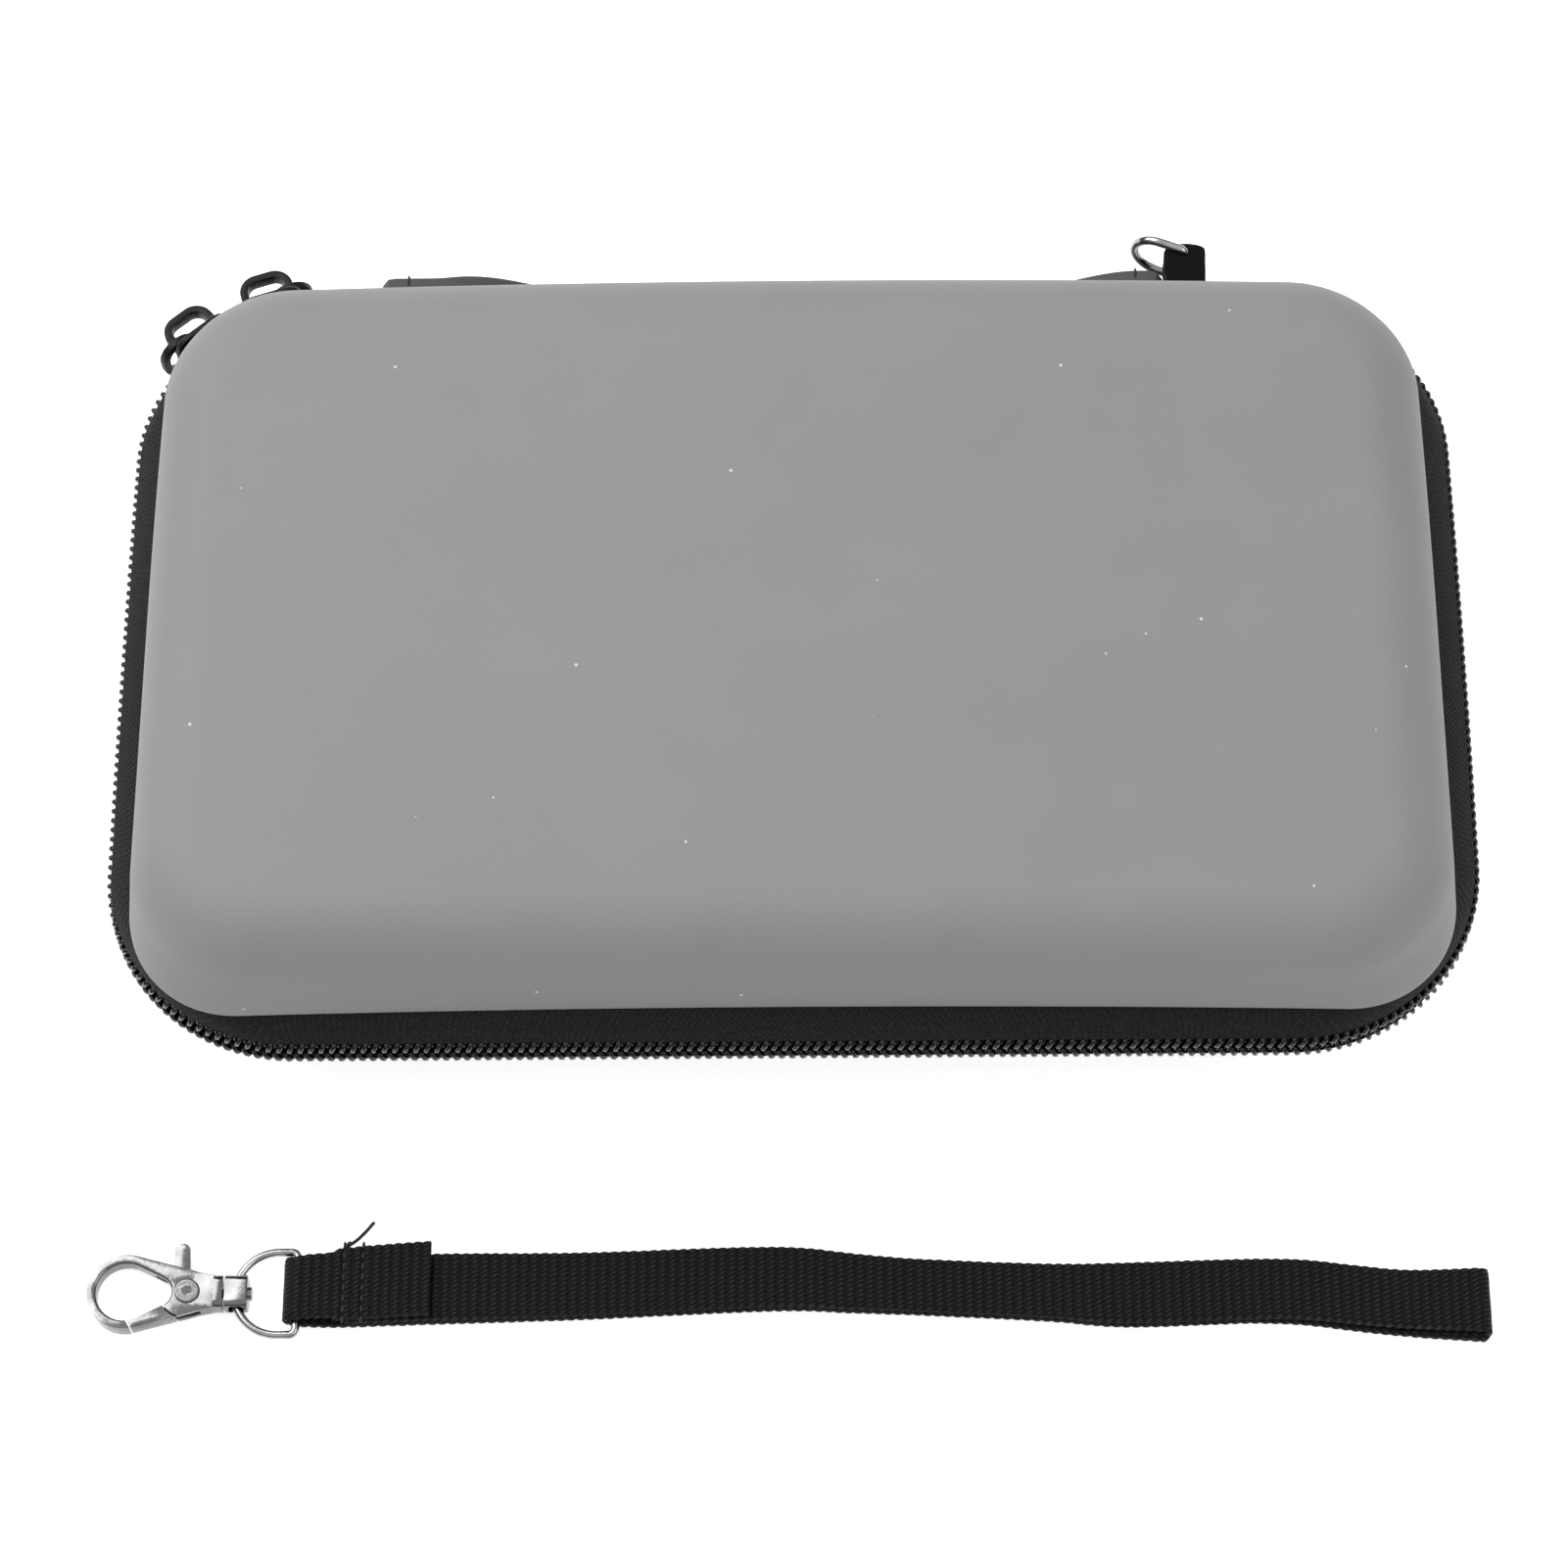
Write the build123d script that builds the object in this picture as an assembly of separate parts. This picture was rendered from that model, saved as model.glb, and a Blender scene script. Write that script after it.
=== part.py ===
"""Portable game console case with a zip, a handle and a detachable wrist strap.

Millimetres. The origin is under the middle of the base, +X right, +Y to the hinge, +Z up.
"""
import math
import os

from build123d import *

# Case outline: the chain is the widest line, the shell rims stand inside it.
zip_width = 190.0
zip_depth = 119.0
zip_corner = 27.5
zip_level = 22.0
case_height = 2 * zip_level
rim_inset = 4.0
lid_corner = 17.0
base_corner = 27.5
rim_rise = 6.6
wall = 3.0
draft = 7.0
lid_edge_round = 9.0
lid_inner_round = 6.0
base_edge_round = 13.0
base_inner_round = 8.4
rim_round = 0.8

# Zip: two coil halves with a slit between them, on tapes that slope in under the rims.
coil_thick = 1.8
coil_slit = 0.6
coil_rise = 2.6
tape_thick = 0.7
tape_slope_thick = 0.8
tape_tuck = 0.3
margin_thick = 0.6
margin_height = 4.6
binding_thick = 0.8
binding_height = 5.0

# Spine and lid hinge at the back.
spine_half = 62.5
coil_end_gap = 0.5
spine_thick = 0.9
spine_low = 19.0
spine_high = 25.0

# Sliders: distances along the chain from the start of the left back corner.
back_slider_along = 8.9
slider_spacing = 10.8
slider_length = 9.6
slider_half_high = 5.0
slider_plate = 1.0
slider_gap = 1.2
back_plate_half_high = 2.4
back_plate_length = 8.0
back_plate_thick = 0.8
back_plate_gap = 0.6
slider_post = 3.0
slider_post_thick = 0.4
bridge_length = 8.0
bridge_out = 8.1
bridge_band = 1.2
bridge_high = 2.0
bridge_round = 2.8
notch_before = 1.0
notch_after = 2.2
notch_top = 25.8

# Pulls: flat tabs whose round head hangs by an eye from one leg of the bridge.
pull_length = 19.0
pull_width = 4.6
pull_head = 6.4
pull_thick = 1.2
pull_eye_width = 4.0
pull_eye_length = 5.2
pull_out = 3.0
pull_hang = 0.2

# Handle behind the spine.
handle_from_spine_end = 2.0
handle_thick = 4.5
handle_high = 12.0
handle_top = 25.8
handle_bow = 5.0
handle_droop = 12.0
handle_droop_from = 0.9
handle_droop_over = 0.4
handle_end_flat = 3.0
handle_tip_round = 2.0

# Ring tab and case ring to the right of the handle.
ring_from_spine_end = 4.2
ring_stand_off = 7.9
ring_turn = 22.0
ring_level = 21.9
ring_high = 9.0
ring_reach = 8.4
ring_wire = 1.35
ring_bend = 0.9
tab_thick = 2.0
tab_end = 1.0
tab_round = 1.7
tab_high = 5.7
tab_foot_left = 2.9
tab_foot_right = 3.6
tab_slack = 0.125
tab_handle_gap = 0.5

# Inside of the case.
mesh_thick = 0.6
mesh_above_rim = 1.0
mesh_mouth_from_rim = 21.3
hem_width = 5.0
hem_thick = 1.6
console_strap_width = 25.0
console_strap_from_rim = 16.0
console_strap_thick = 1.2

# Wrist strap, lying in front of the case.
strap_from_case = 27.1
strap_width = 10.0
webbing = 1.2
layer_gap = 0.1
strap_fold_end = 96.0
strap_bar_x = -68.9
flap_end = -50.2
return_end = -62.1
loop_slack = 0.15

# Strap ring and swivel.
strap_wire = 1.2
strap_ring_reach = 9.1
strap_ring_width = 13.2
drum_width = 5.0
drum_high = 3.4
drum_behind = 1.35
drum_ahead = 1.8
drum_hole_behind = 0.8
drum_hole_ahead = 1.3
drum_hole_high = 2.4
pin_radius = 0.6
pin_head = 0.95
pin_head_length = 0.7
pin_slack = 0.12
collar_gap = 0.3

# Hook, rivet and lever.
collar_length = 1.3
collar_width = 5.0
collar_high = 3.4
hook_length = 17.5
hook_round = 5.35
hook_band = 1.25
hook_heel = 3.1
hook_thick = 2.6
heel_half = 2.3
opening_end_round = 2.2
opening_from_rivet = 2.15
rivet_back = 3.6
rivet_radius = 1.1
rivet_bore = 0.7
rivet_head = 1.75
rivet_proud = 0.3
rivet_slack = 0.06
lever_slot = 1.2
lever_thick = 1.0
lever_turn = 22.0
gate_nose = 9.1
gate_heel = 3.9
gate_clear = 0.2
thumb_reach = 7.2
thumb_width = 2.1

# Derived sizes.
rim_width = zip_width - 2 * rim_inset
rim_depth = zip_depth - 2 * rim_inset
lid_rim = zip_level + rim_rise
draft_slope = math.tan(math.radians(draft))
coil_low = zip_level + coil_slit / 2
coil_high = zip_level + coil_rise
flange_face = zip_depth / 2 - coil_thick
spine_face = flange_face + spine_thick
coil_end = spine_half + coil_end_gap
back_slider_angle = math.degrees(back_slider_along / zip_corner)
corner_slider_angle = math.degrees((back_slider_along + slider_spacing) / zip_corner)
notch_from = math.degrees((back_slider_along - slider_length / 2 - notch_before) / zip_corner)
notch_to = math.degrees((back_slider_along + slider_spacing + slider_length / 2 + notch_after) / zip_corner)
ring_x = spine_half - ring_from_spine_end
ring_y = spine_face + ring_stand_off
handle_left = handle_from_spine_end - spine_half
handle_right = ring_x - tab_foot_left - tab_handle_gap
mesh_mouth_y = mesh_mouth_from_rim - rim_depth / 2
strap_y = -zip_depth / 2 - strap_from_case
corner_x = -zip_width / 2 + zip_corner
corner_y = zip_depth / 2 - zip_corner


def rim(corner, inset, level):
    """A shell rim's rounded outline, brought in by an inset, at a level."""
    shape = RectangleRounded(rim_width - 2 * inset, rim_depth - 2 * inset, corner - inset)
    return Pos(0, 0, level) * shape


def zip_line(inset, level):
    """The chain's rounded outline, brought in by an inset, at a level."""
    shape = RectangleRounded(zip_width - 2 * inset, zip_depth - 2 * inset, zip_corner - inset)
    return Pos(0, 0, level) * shape


def block(x0, x1, y0, y1, z0, z1):
    """A box between two corners."""
    middle = Pos((x0 + x1) / 2, (y0 + y1) / 2, (z0 + z1) / 2)
    return middle * Box(x1 - x0, y1 - y0, z1 - z0)


def rod(start, end, radius):
    """A round rod between two points."""
    axis = Vector(*end) - Vector(*start)
    return extrude(Plane(origin=start, z_dir=axis) * Circle(radius), axis.length)


def wall_block(corner, inset, low, high):
    """The space inside a shell's leaning outline, between two levels."""
    inward = inset + (low - lid_rim) * draft_slope
    return extrude(rim(corner, inward, low), high - low, taper=draft)


def wall_ring(corner, outer, inner, low, high):
    """A ring that leans with the wall, between two insets from the rim."""
    return wall_block(corner, outer, low, high) - wall_block(corner, inner, low, high)


def base_half(shape):
    """The base's copy of a lid piece, mirrored in the zip level."""
    return mirror(shape, about=Plane.XY.offset(zip_level))


def make_shell(corner, edge_round, inner_round):
    """A moulded shell as it stands on the lid: a drafted, rounded tray, open downwards."""
    outside = wall_block(corner, 0, lid_rim, case_height)
    outside = fillet(outside.faces().sort_by(Axis.Z)[-1].edges(), edge_round)
    inside = wall_block(corner, wall, lid_rim, case_height - wall)
    inside = fillet(inside.faces().sort_by(Axis.Z)[-1].edges(), inner_round)
    shell = outside - inside
    lip = shell.faces().sort_by(Axis.Z)[0].outer_wire().edges()
    return fillet(lip, rim_round)


def make_tape(corner):
    """A zip tape as it stands on the lid: behind the coil, sloping in under the rim, then up the wall."""
    inner = coil_thick + tape_thick
    flange = extrude(zip_line(coil_thick, coil_low) - zip_line(inner, coil_low), coil_high - coil_low)
    outside = loft([zip_line(coil_thick, coil_high), rim(corner, tape_tuck, lid_rim)], ruled=True)
    inside_low = zip_line(coil_thick + tape_slope_thick, coil_high)
    inside_high = rim(corner, tape_tuck + tape_slope_thick, lid_rim)
    slope = outside - loft([inside_low, inside_high], ruled=True)
    ledge_level = lid_rim - tape_thick
    ledge_face = rim(corner, tape_tuck, ledge_level) - rim(corner, wall + margin_thick, ledge_level)
    ledge = extrude(ledge_face, tape_thick)
    margin = wall_ring(corner, wall, wall + margin_thick, lid_rim, lid_rim + margin_height)
    return flange + slope + ledge + margin


def make_coil():
    """One coil half, open along the spine."""
    ring = extrude(zip_line(0, coil_low) - zip_line(coil_thick, coil_low), coil_high - coil_low)
    return ring - block(-coil_end, coil_end, corner_y, zip_depth, 0, case_height)


def corner_sector(start, end, low, high):
    """A wedge about the left back corner's centre, between two angles from the back."""
    reach = 60.0
    angles = [start, (start + end) / 2, end]
    points = [(corner_x, corner_y)]
    for angle in angles:
        turn = math.radians(angle)
        points.append((corner_x - reach * math.sin(turn), corner_y + reach * math.cos(turn)))
    return extrude(Pos(0, 0, low) * make_face(Polyline(*points, close=True)), high - low)


def on_corner(angle, shape):
    """Places a slider piece on the chain: local X along it, local Y outwards, local Z up."""
    turn = math.radians(angle)
    place = (corner_x - zip_corner * math.sin(turn), corner_y + zip_corner * math.cos(turn), zip_level)
    frame = Plane(origin=place, x_dir=(math.cos(turn), math.sin(turn), 0), z_dir=(0, 0, 1))
    return frame.location * shape


def flat_plate(width, height, radius, near, far):
    """A rounded plate that faces outwards, between two distances from the chain."""
    face = Plane(origin=(0, near, 0), x_dir=(1, 0, 0), z_dir=(0, 1, 0)) * RectangleRounded(width, height, radius)
    return extrude(face, far - near)


def make_slider():
    """A slider: front plate, back plate, the thin post between the coils and the staple bridge."""
    front_far = slider_gap + slider_plate
    front = flat_plate(slider_length, 2 * slider_half_high, 2.6, slider_gap, front_far)
    front = fillet(front.faces().sort_by(Axis.Y)[-1].edges(), 0.4)
    back_far = -(coil_thick + tape_thick + back_plate_gap)
    back_near = back_far - back_plate_thick
    back = flat_plate(back_plate_length, 2 * back_plate_half_high, 1.6, back_near, back_far)
    half_post = slider_post_thick / 2
    post = block(-slider_post / 2, slider_post / 2, back_far - 0.2, slider_gap + 0.2, -half_post, half_post)
    root = front_far - 0.4
    arch = Pos(0, (root + bridge_out) / 2) * Rectangle(bridge_length, bridge_out - root)
    arch = fillet(arch.vertices().group_by(Axis.Y)[-1], bridge_round)
    hole_far = bridge_out - bridge_band
    hole = Pos(0, (root + hole_far) / 2) * Rectangle(bridge_length - 2 * bridge_band, hole_far - root)
    hole = fillet(hole.vertices().group_by(Axis.Y)[-1], bridge_round - bridge_band)
    bridge = extrude(arch - hole, bridge_high / 2, both=True)
    bridge = fillet(bridge.edges().group_by(SortBy.LENGTH)[-1], 0.35)
    return front + back + post + bridge


def make_pull(side):
    """A flat pull that hangs by its round eye from one leg of the bridge."""
    leg = side * (bridge_length - bridge_band) / 2
    face = Plane(origin=(leg, pull_out, 0), x_dir=(1, 0, 0), z_dir=(0, 1, 0))
    eye_middle = bridge_high / 2 + pull_hang - pull_eye_length / 2
    head_long = pull_eye_length + pull_head - pull_eye_width
    head_top = eye_middle + head_long / 2
    tab_middle = head_top - (pull_length + head_long / 2) / 2
    head = Pos(0, -eye_middle) * RectangleRounded(pull_head, head_long, pull_head / 2 - 0.05)
    tab = Pos(0, -tab_middle) * RectangleRounded(pull_width, pull_length - head_long / 2, 1.6)
    eye = Pos(0, -eye_middle) * RectangleRounded(pull_eye_width, pull_eye_length, pull_eye_width / 2 - 0.05)
    outline = head + tab
    return extrude(face * (outline - eye), pull_thick)


def make_handle():
    """The handle strap: bowed out in plan and hanging down in the middle."""
    middle = (handle_left + handle_right) / 2
    half = (handle_right - handle_left) / 2
    flat = half - handle_end_flat
    steps = 24
    inner = []
    outer = []
    top = []
    bottom = []
    for step in range(steps + 1):
        share = 2 * step / steps - 1
        bow = spine_face + handle_bow * (1 - share**4) ** 2
        sunk = min(1.0, max(0.0, (handle_droop_from - abs(share)) / handle_droop_over))
        drop = handle_droop * sunk**2 * (3 - 2 * sunk)
        inner.append((middle + flat * share, bow))
        outer.append((middle + flat * share, bow + handle_thick))
        top.append((middle + half * share, handle_top - drop))
        bottom.append((middle + half * share, handle_top - handle_high - drop))
    along = [(1, 0), (1, 0)]
    corners = [(handle_left, spine_face), (handle_right, spine_face)]
    corners += [(handle_right, spine_face + handle_thick), (handle_left, spine_face + handle_thick)]
    plan = make_face(
        [
            Line(corners[0], inner[0]),
            Spline(*inner, tangents=along),
            Line(inner[-1], corners[1]),
            Line(corners[1], corners[2]),
            Line(corners[2], outer[-1]),
            Spline(*outer, tangents=along),
            Line(outer[0], corners[3]),
            Line(corners[3], corners[0]),
        ]
    )
    front = make_face([Spline(*top), Line(top[-1], bottom[-1]), Spline(*bottom), Line(bottom[0], top[0])])
    front = fillet(front.vertices(), handle_tip_round)
    band = extrude(Plane.XZ * front, -2 * zip_depth)
    return extrude(plan, case_height) & band


def make_ring_tab():
    """The webbing loop whose feet are sewn to the spine and whose fold holds the case ring."""
    inner = ring_wire / 2 + tab_slack
    outer = inner + tab_thick
    foot = spine_face + tab_thick
    end = ring_y + inner + tab_end
    body = Pos(ring_x, (spine_face + end) / 2) * Rectangle(2 * outer, end - spine_face)
    body = fillet(body.vertices().group_by(Axis.Y)[-1], tab_round)
    feet = Pos(ring_x + (tab_foot_right - tab_foot_left) / 2, (spine_face + foot) / 2)
    feet = feet * Rectangle(tab_foot_right + tab_foot_left, tab_thick)
    hollow = Pos(ring_x, ring_y) * Circle(inner)
    hollow += Pos(ring_x, (foot + ring_y) / 2) * Rectangle(2 * inner, ring_y - foot)
    loop = body + feet - hollow
    return extrude(Pos(0, 0, ring_level) * loop, tab_high / 2, both=True)


def d_ring(width, reach, wire):
    """A D-ring about a bar along local Y at the origin, reaching to local -X."""
    half = width / 2 - wire / 2
    bow = reach - wire / 2
    corner = ring_bend
    straight = half - corner
    shoulder = bow - half
    slant = corner * math.sqrt(0.5)
    path = Wire(
        [
            Line((0, -straight), (0, straight)),
            ThreePointArc((0, straight), (slant - corner, straight + slant), (-corner, half)),
            Line((-corner, half), (-shoulder, half)),
            ThreePointArc((-shoulder, half), (-bow, 0), (-shoulder, -half)),
            Line((-shoulder, -half), (-corner, -half)),
            ThreePointArc((-corner, -half), (slant - corner, -straight - slant), (0, -straight)),
        ]
    )
    section = Plane(origin=(0, -straight, 0), x_dir=(1, 0, 0), z_dir=(0, 1, 0)) * Circle(wire / 2)
    return sweep(section, path=path)


def make_case_ring():
    """The case's D-ring, standing upright with its bar in the tab and turned a little outwards."""
    upright = Pos(ring_x, ring_y, ring_level) * Rot(0, 0, -ring_turn) * Rot(90, 0, 0)
    return upright * d_ring(ring_high, ring_reach, ring_wire)


def make_mesh_pocket():
    """The net across the lid, open along its front."""
    level = lid_rim + mesh_above_rim
    net = wall_block(lid_corner, wall + margin_thick + binding_thick, level, level + mesh_thick)
    return net - block(-zip_width, zip_width, -zip_depth, mesh_mouth_y, 0, case_height)


def make_pocket_hem():
    """The elastic hem along the pocket's mouth, folded round the net's edge."""
    low = lid_rim + mesh_above_rim + mesh_thick / 2 - hem_thick / 2
    strip = block(
        -zip_width,
        zip_width,
        mesh_mouth_y - hem_width / 2,
        mesh_mouth_y + hem_width / 2,
        low,
        low + hem_thick,
    )
    room = wall_block(lid_corner, wall + margin_thick + binding_thick, low, low + hem_thick)
    return (strip & room) - make_mesh_pocket()


def make_wrist_strap():
    """The doubled webbing: sewn flap, loop round the ring, long layer, fold, and return layer."""
    inner = strap_wire / 2 + loop_slack
    outer = inner + webbing
    bar_level = outer
    upper_low = webbing + layer_gap
    fold_out = webbing + layer_gap / 2
    fold_x = strap_fold_end - fold_out
    side = Plane.XZ
    lower = Pos((strap_bar_x + fold_x) / 2, webbing / 2) * Rectangle(fold_x - strap_bar_x, webbing)
    upper = Pos((return_end + fold_x) / 2, upper_low + webbing / 2) * Rectangle(fold_x - return_end, webbing)
    flap_middle = (strap_bar_x + flap_end) / 2
    flap = Pos(flap_middle, 2 * outer - webbing / 2) * Rectangle(flap_end - strap_bar_x, webbing)
    fold = Pos(fold_x, fold_out) * (Circle(fold_out) - Circle(layer_gap / 2))
    fold -= Pos(fold_x - outer, fold_out) * Rectangle(2 * outer, 4 * outer)
    loop = Pos(strap_bar_x, bar_level) * (Circle(outer) - Circle(inner))
    loop -= Pos(strap_bar_x + outer, bar_level) * Rectangle(2 * outer, 4 * outer)
    profile = lower + upper + flap + fold + loop
    band = extrude(side * profile, strap_width / 2, both=True)
    return Pos(0, strap_y, 0) * band


# Levels and places along the clasp.
clasp_level = strap_wire / 2 + loop_slack + webbing
bow_x = strap_bar_x - strap_ring_reach + strap_wire / 2
drum_end = bow_x - drum_behind
collar_x = drum_end - collar_gap
heel_x = collar_x - collar_length
pivot_x = heel_x - rivet_back
round_x = heel_x - hook_length + hook_round


def make_strap_ring():
    """The strap's D-ring, lying flat with its bar in the webbing's loop."""
    return Pos(strap_bar_x, strap_y, clasp_level) * d_ring(strap_ring_width, strap_ring_reach, strap_wire)


def make_swivel():
    """The swivel drum on the ring's bow, with a headed pin into the hook's collar."""
    drum_front = bow_x + drum_ahead
    half_wide = drum_width / 2
    half_high = drum_high / 2
    drum = block(drum_end, drum_front, -half_wide, half_wide, -half_high, half_high)
    drum = fillet(drum.edges().filter_by(Axis.X), 1.2)
    drum = fillet(drum.faces().sort_by(Axis.X)[-1].edges(), 0.3)
    half_hole = drum_hole_high / 2
    hole = block(
        bow_x - drum_hole_behind,
        bow_x + drum_hole_ahead,
        -drum_width,
        drum_width,
        -half_hole,
        half_hole,
    )
    hole = fillet(hole.edges().filter_by(Axis.Y), 0.5)
    head_start = heel_x - 0.45
    pin = rod((drum_end + 0.2, 0, 0), (head_start, 0, 0), pin_radius)
    head = rod((head_start, 0, 0), (head_start - pin_head_length, 0, 0), pin_head)
    stub = rod((drum_front - 0.1, 0, 0), (drum_front + 0.5, 0, 0), pin_head)
    return Pos(0, strap_y, clasp_level) * (drum - hole + pin + head + stub)


def pear(big, small, small_x):
    """A pear outline: a big round at the hook's end and a small round nearer the heel."""
    gap = small_x - round_x
    lean = math.acos((big - small) / gap)
    upper_big = (round_x + big * math.cos(lean), big * math.sin(lean))
    upper_small = (small_x + small * math.cos(lean), small * math.sin(lean))
    lower_big = (upper_big[0], -upper_big[1])
    lower_small = (upper_small[0], -upper_small[1])
    side = make_face(Polyline(upper_big, upper_small, lower_small, lower_big, close=True))
    return side + Pos(round_x, 0) * Circle(big) + Pos(small_x, 0) * Circle(small)


def hook_outline():
    """The closed hook seen from above, with its opening."""
    heel = make_face(
        Polyline(
            (pivot_x, hook_heel),
            (heel_x + 0.2, heel_half),
            (heel_x + 0.2, -heel_half),
            (pivot_x, -hook_heel),
            close=True,
        )
    )
    opening_x = pivot_x - opening_from_rivet - opening_end_round
    opening = pear(hook_round - hook_band, opening_end_round, opening_x)
    return pear(hook_round, hook_heel, pivot_x) + heel - opening


def gate_zone(near, far, first, last):
    """A sector about the rivet on the hook's front side, between two distances and two angles."""
    points = [(pivot_x, 0)]
    for angle in (first, (first + last) / 2, last):
        turn = math.radians(angle)
        points.append((pivot_x - 3 * far * math.cos(turn), -3 * far * math.sin(turn)))
    wedge = make_face(Polyline(*points, close=True))
    return (wedge & (Pos(pivot_x, 0) * Circle(far))) - Pos(pivot_x, 0) * Circle(near)


def make_hook():
    """The lobster hook with its collar, a slot for the lever and a bore for the swivel pin."""
    half = hook_thick / 2
    swept = gate_zone(gate_heel - gate_clear, gate_nose + gate_clear, 0.0, 85.0)
    solid = extrude(hook_outline(), half, both=True)
    rims = solid.faces().filter_by(Axis.Z)
    solid = fillet(rims[0].inner_wires()[0].edges() + rims[1].inner_wires()[0].edges(), 0.4)
    solid -= extrude(swept, half, both=True)
    slot_start = pivot_x - gate_heel - 0.6
    slot_end = heel_x - 1.7
    slot = block(slot_start, slot_end, -2 * hook_round, 2 * hook_round, -lever_slot / 2, lever_slot / 2)
    half_wide = collar_width / 2
    half_high = collar_high / 2
    collar = block(heel_x, collar_x, -half_wide, half_wide, -half_high, half_high)
    collar = fillet(collar.edges().filter_by(Axis.X), 1.2)
    chamber_end = heel_x - 0.3
    bore = rod((chamber_end - 0.1, 0, 0), (collar_x + 0.5, 0, 0), pin_radius + pin_slack)
    chamber_start = heel_x - 0.45 - pin_head_length - 0.15
    chamber = rod((chamber_start, 0, 0), (chamber_end, 0, 0), pin_head + pin_slack)
    pivot = rod((pivot_x, 0, -half), (pivot_x, 0, half), rivet_radius)
    hook = solid - slot + collar - bore - chamber - pivot
    return Pos(0, strap_y, clasp_level) * hook


def make_rivet():
    """The hollow rivet through the hook's cheeks and the lever, with a low head on each side."""
    half = hook_thick / 2
    top = half + rivet_proud
    shank = rod((pivot_x, 0, -half), (pivot_x, 0, half), rivet_radius)
    head = rod((pivot_x, 0, half), (pivot_x, 0, top), rivet_head)
    head = fillet(head.faces().sort_by(Axis.Z)[-1].edges(), 0.25)
    foot = rod((pivot_x, 0, -top), (pivot_x, 0, -half), rivet_head)
    foot = fillet(foot.faces().sort_by(Axis.Z)[0].edges(), 0.25)
    bore = rod((pivot_x, 0, -top), (pivot_x, 0, top), rivet_bore)
    return Pos(0, strap_y, clasp_level) * (shank + head + foot - bore)


def make_lever():
    """The lever: a gate on the hook's front side and a thumb tab on its back side."""
    half = hook_thick / 2 - 0.15
    gate = extrude(hook_outline() & gate_zone(gate_heel, gate_nose, 8.0, 80.0), half, both=True)
    web = make_face(
        Polyline(
            (pivot_x + 1.3, -1.3),
            (pivot_x - gate_heel * 0.5, -gate_heel * 0.98),
            (pivot_x - gate_heel * 0.98, -gate_heel * 0.98),
            (pivot_x - gate_heel * 0.95, -gate_heel * 0.70),
            (pivot_x - 1.75, 0.0),
            (pivot_x - thumb_width, 2.6),
            (pivot_x - thumb_width, thumb_reach),
            (pivot_x, thumb_reach),
            (pivot_x + 0.2, 2.6),
            (pivot_x + 1.6, 0.6),
            close=True,
        )
    )
    web = fillet(web.vertices().group_by(Axis.Y)[-1], 0.9)
    tongue = extrude(web, lever_thick / 2, both=True)
    hole = rod((pivot_x, 0, -half), (pivot_x, 0, half), rivet_radius + rivet_slack)
    return Pos(0, strap_y, clasp_level) * (gate + tongue - hole)


# Case pieces.
top_shell = make_shell(lid_corner, lid_edge_round, lid_inner_round)
bottom_shell = base_half(make_shell(base_corner, base_edge_round, base_inner_round))
whole_tape = make_tape(lid_corner)
whole_coil = make_coil()
lower_zip_tape = base_half(make_tape(base_corner))
lower_zip_coil = base_half(whole_coil)
slider_notch = corner_sector(notch_from, notch_to, zip_level, notch_top)
upper_zip_tape = whole_tape - slider_notch
upper_zip_coil = whole_coil - slider_notch
bound = wall + margin_thick
binding_top = lid_rim + binding_height
lid_binding = wall_ring(lid_corner, bound, bound + binding_thick, lid_rim, binding_top)
base_binding = base_half(wall_ring(base_corner, bound, bound + binding_thick, lid_rim, binding_top))
mesh_pocket = make_mesh_pocket()
pocket_hem = make_pocket_hem()
strap_half = console_strap_width / 2
console_strap_reach = rim_depth / 2 - console_strap_from_rim
console_strap = block(
    -strap_half,
    strap_half,
    -console_strap_reach,
    console_strap_reach,
    wall,
    wall + console_strap_thick,
)
spine = block(-spine_half, spine_half, flange_face, spine_face, spine_low, spine_high)
handle = make_handle()
ring_tab = make_ring_tab()
case_ring = make_case_ring()
zip_slider_back = on_corner(back_slider_angle, make_slider())
zip_slider_corner = on_corner(corner_slider_angle, make_slider())
zip_pull_back = on_corner(back_slider_angle, make_pull(1))
zip_pull_corner = on_corner(corner_slider_angle, make_pull(-1))

# Wrist strap pieces.
wrist_strap = make_wrist_strap()
strap_ring = make_strap_ring()
clasp_swivel = make_swivel()
clasp_hook = make_hook()
clasp_rivet = make_rivet()
clasp_lever = make_lever()

pieces = {
    "top_shell": top_shell,
    "bottom_shell": bottom_shell,
    "upper_zip_tape": upper_zip_tape,
    "lower_zip_tape": lower_zip_tape,
    "upper_zip_coil": upper_zip_coil,
    "lower_zip_coil": lower_zip_coil,
    "lid_binding": lid_binding,
    "base_binding": base_binding,
    "mesh_pocket": mesh_pocket,
    "pocket_hem": pocket_hem,
    "console_strap": console_strap,
    "spine": spine,
    "handle": handle,
    "ring_tab": ring_tab,
    "case_ring": case_ring,
    "zip_slider_back": zip_slider_back,
    "zip_slider_corner": zip_slider_corner,
    "zip_pull_back": zip_pull_back,
    "zip_pull_corner": zip_pull_corner,
    "wrist_strap": wrist_strap,
    "strap_ring": strap_ring,
    "clasp_swivel": clasp_swivel,
    "clasp_hook": clasp_hook,
    "clasp_rivet": clasp_rivet,
    "clasp_lever": clasp_lever,
}

os.makedirs("parts", exist_ok=True)
for name, piece in pieces.items():
    export_step(piece, os.path.join("parts", name + ".step"))
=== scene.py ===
"""Looks of a portable game console case with its detachable wrist strap.

Laid out as an add-on and run as a script. Metres; the frame's own axes: +X right, +Y to the hinge, +Z up.
"""

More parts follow.
